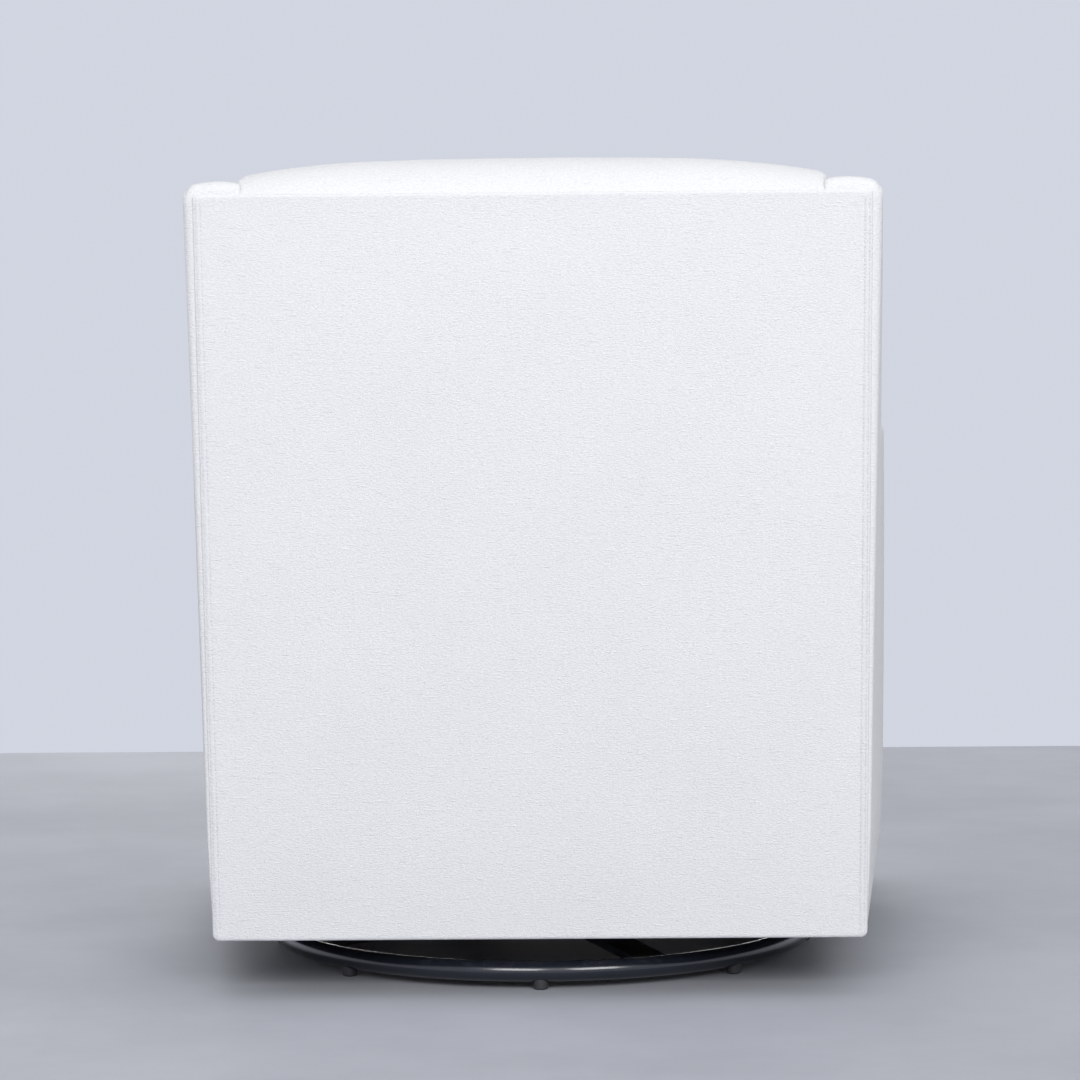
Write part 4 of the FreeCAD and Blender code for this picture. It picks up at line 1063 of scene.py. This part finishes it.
def buildDeckPad(spec):
    low, high = [np.array(c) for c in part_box("deck_pad")]
    ys = np.linspace(low[1], high[1], spec["rows"])
    across = np.linspace(-1, 1, spec["columns"])
    scale = spec["quiltScale"]
    verts, faces = [], []
    for face in (1, -1):
        base = len(verts)
        for y in ys:
            half = innerHalf(y) - spec["sideGap"] - spec["inset"]
            for s in across:
                edge = min(half * (1 - abs(s)), y - low[1], high[1] - y)
                drawn = float(ease(np.array([max(edge, 0.0)]), spec["round"])[0])
                dimple = spec["quilt"] * (0.5 + 0.5 * math.sin(s * half * scale) * math.sin(y * scale))
                z = high[2] - drawn - dimple if face > 0 else low[2] + drawn + dimple * spec["underQuilt"]
                verts.append((s * half, y, z))
        for r in range(len(ys) - 1):
            for c in range(len(across) - 1):
                a = base + r * len(across) + c
                quad = (a, a + 1, a + len(across) + 1, a + len(across))
                faces.append(quad if face > 0 else quad[::-1])
    wide, total = len(across), len(across) * len(ys)
    rim = list(range(wide)) + [r * wide + wide - 1 for r in range(1, len(ys))]
    rim += [total - 1 - c for c in range(1, wide)] + [r * wide for r in range(len(ys) - 2, 0, -1)]
    for i in range(len(rim)):
        a, b = rim[i], rim[(i + 1) % len(rim)]
        faces.append((b, a, total + a, total + b))
    pad = makeObject("deckPad", verts, faces, finishes["wadding"])
    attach(pad, "seat")
    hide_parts("deck_pad")


buildDeckPad(deckPad)
print("underside closed")

# stage, light and camera
stage = {"farY": -1.78, "half": 7.0, "nearY": 9.0, "backdrop": (0.640, 0.668, 0.752, 1),
         "ambient": (0.985, 0.99, 1.0, 1), "ambientStrength": 0.72, "floorDark": (0.36, 0.372, 0.415, 1),
         "floorLight": (0.43, 0.445, 0.49, 1), "floorRough": 0.8, "floorSpecular": 0.12, "patchScale": 1.6,
         "patchRough": 0.6, "patchRange": (0.3, 0.7)}


def buildStage(spec):
    x, far, near = spec["half"], spec["farY"], spec["nearY"]
    mesh = bpy.data.meshes.new("floor")
    mesh.from_pydata([(-x, far, 0), (x, far, 0), (x, near, 0), (-x, near, 0)], [], [(0, 1, 2, 3)])
    floor = bpy.data.objects.new("floor", mesh)
    scene.collection.objects.link(floor)
    material, tree, shader = startMaterial("paleFloor", **{
        "Roughness": spec["floorRough"], "Specular IOR Level": spec["floorSpecular"]})
    place = tree.nodes.new("ShaderNodeTexCoord").outputs["Object"]
    patches = cloud(tree, place, spec["patchScale"], detail=6.0, rough=spec["patchRough"])
    patches = remap(tree, patches, *spec["patchRange"])
    tree.links.new(blendColor(tree, patches, spec["floorDark"], spec["floorLight"]), shader.inputs["Base Color"])
    mesh.materials.append(material)
    world = bpy.data.worlds.new("studio")
    scene.world = world
    world.use_nodes = True
    tree = world.node_tree
    light = tree.nodes["Background"]
    light.inputs["Color"].default_value = spec["ambient"]
    light.inputs["Strength"].default_value = spec["ambientStrength"]
    backdrop = tree.nodes.new("ShaderNodeBackground")
    backdrop.inputs["Color"].default_value = spec["backdrop"]
    path = tree.nodes.new("ShaderNodeLightPath")
    seen = calc(tree, "MAXIMUM", path.outputs["Is Camera Ray"],
                calc(tree, "MAXIMUM", path.outputs["Is Glossy Ray"], path.outputs["Is Transmission Ray"]))
    mix = tree.nodes.new("ShaderNodeMixShader")
    tree.links.new(seen, mix.inputs[0])
    tree.links.new(light.outputs[0], mix.inputs[1])
    tree.links.new(backdrop.outputs[0], mix.inputs[2])
    tree.links.new(mix.outputs[0], tree.nodes["World Output"].inputs["Surface"])


lamps = {
    "keySoftboxLeft": {"at": (0.9, 4.8, 2.45), "aim": (0, 0.35, 0.5), "size": 1.8, "power": 80.0},
    "keySoftboxRight": {"at": (-1.9, 4.6, 2.5), "aim": (0, 0.35, 0.5), "size": 1.8, "power": 85.0},
    "topSoftbox": {"at": (0, 0.35, 6.0), "aim": (0, 0.34, 0), "size": 2.0, "power": 6.0},
    "frontSoftbox": {"at": (0.5, -6.0, 1.3), "aim": (0, 0, 0.35), "size": 2.4, "power": 130.0},
}


def buildLamps(spec):
    for name, lamp in spec.items():
        data = bpy.data.lights.new(name, "AREA")
        data.energy = lamp["power"]
        data.size = lamp["size"]
        holder = bpy.data.objects.new(name, data)
        scene.collection.objects.link(holder)
        holder.location = lamp["at"]
        holder.visible_camera = False
        aim = Vector(lamp["aim"]) - Vector(lamp["at"])
        holder.rotation_euler = aim.to_track_quat("-Z", "Y").to_euler()


# focal length in pixels of the photo's own frame
camera = {"at": (-0.0524, 4.3847, 0.7596), "focal": 3898.0, "picture": 1080.0, "sensor": 36.0,
          "yaw": -0.690, "pitch": 3.9481, "roll": -0.4746, "clip": (0.05, 100.0)}


def buildCamera(spec):
    yaw, pitch, roll = [math.radians(spec[k]) for k in ("yaw", "pitch", "roll")]
    ahead, right, up = Vector((0, -1, 0)), Vector((-1, 0, 0)), Vector((0, 0, 1))
    ahead, right = ahead * math.cos(yaw) + right * math.sin(yaw), right * math.cos(yaw) - ahead * math.sin(yaw)
    ahead, up = ahead * math.cos(pitch) - up * math.sin(pitch), up * math.cos(pitch) + ahead * math.sin(pitch)
    right, up = right * math.cos(roll) + up * math.sin(roll), up * math.cos(roll) - right * math.sin(roll)
    data = bpy.data.cameras.new("photoCamera")
    data.sensor_width = spec["sensor"]
    data.lens = spec["focal"] * spec["sensor"] / spec["picture"]
    data.clip_start, data.clip_end = spec["clip"]
    holder = bpy.data.objects.new("photoCamera", data)
    scene.collection.objects.link(holder)
    turn = Matrix((right, up, -ahead)).transposed()
    holder.matrix_world = Matrix.Translation(spec["at"]) @ turn.to_4x4()
    scene.camera = holder


buildStage(stage)
buildLamps(lamps)
buildCamera(camera)
scene.view_settings.view_transform = "Standard"
print("stage, lamps and camera set")
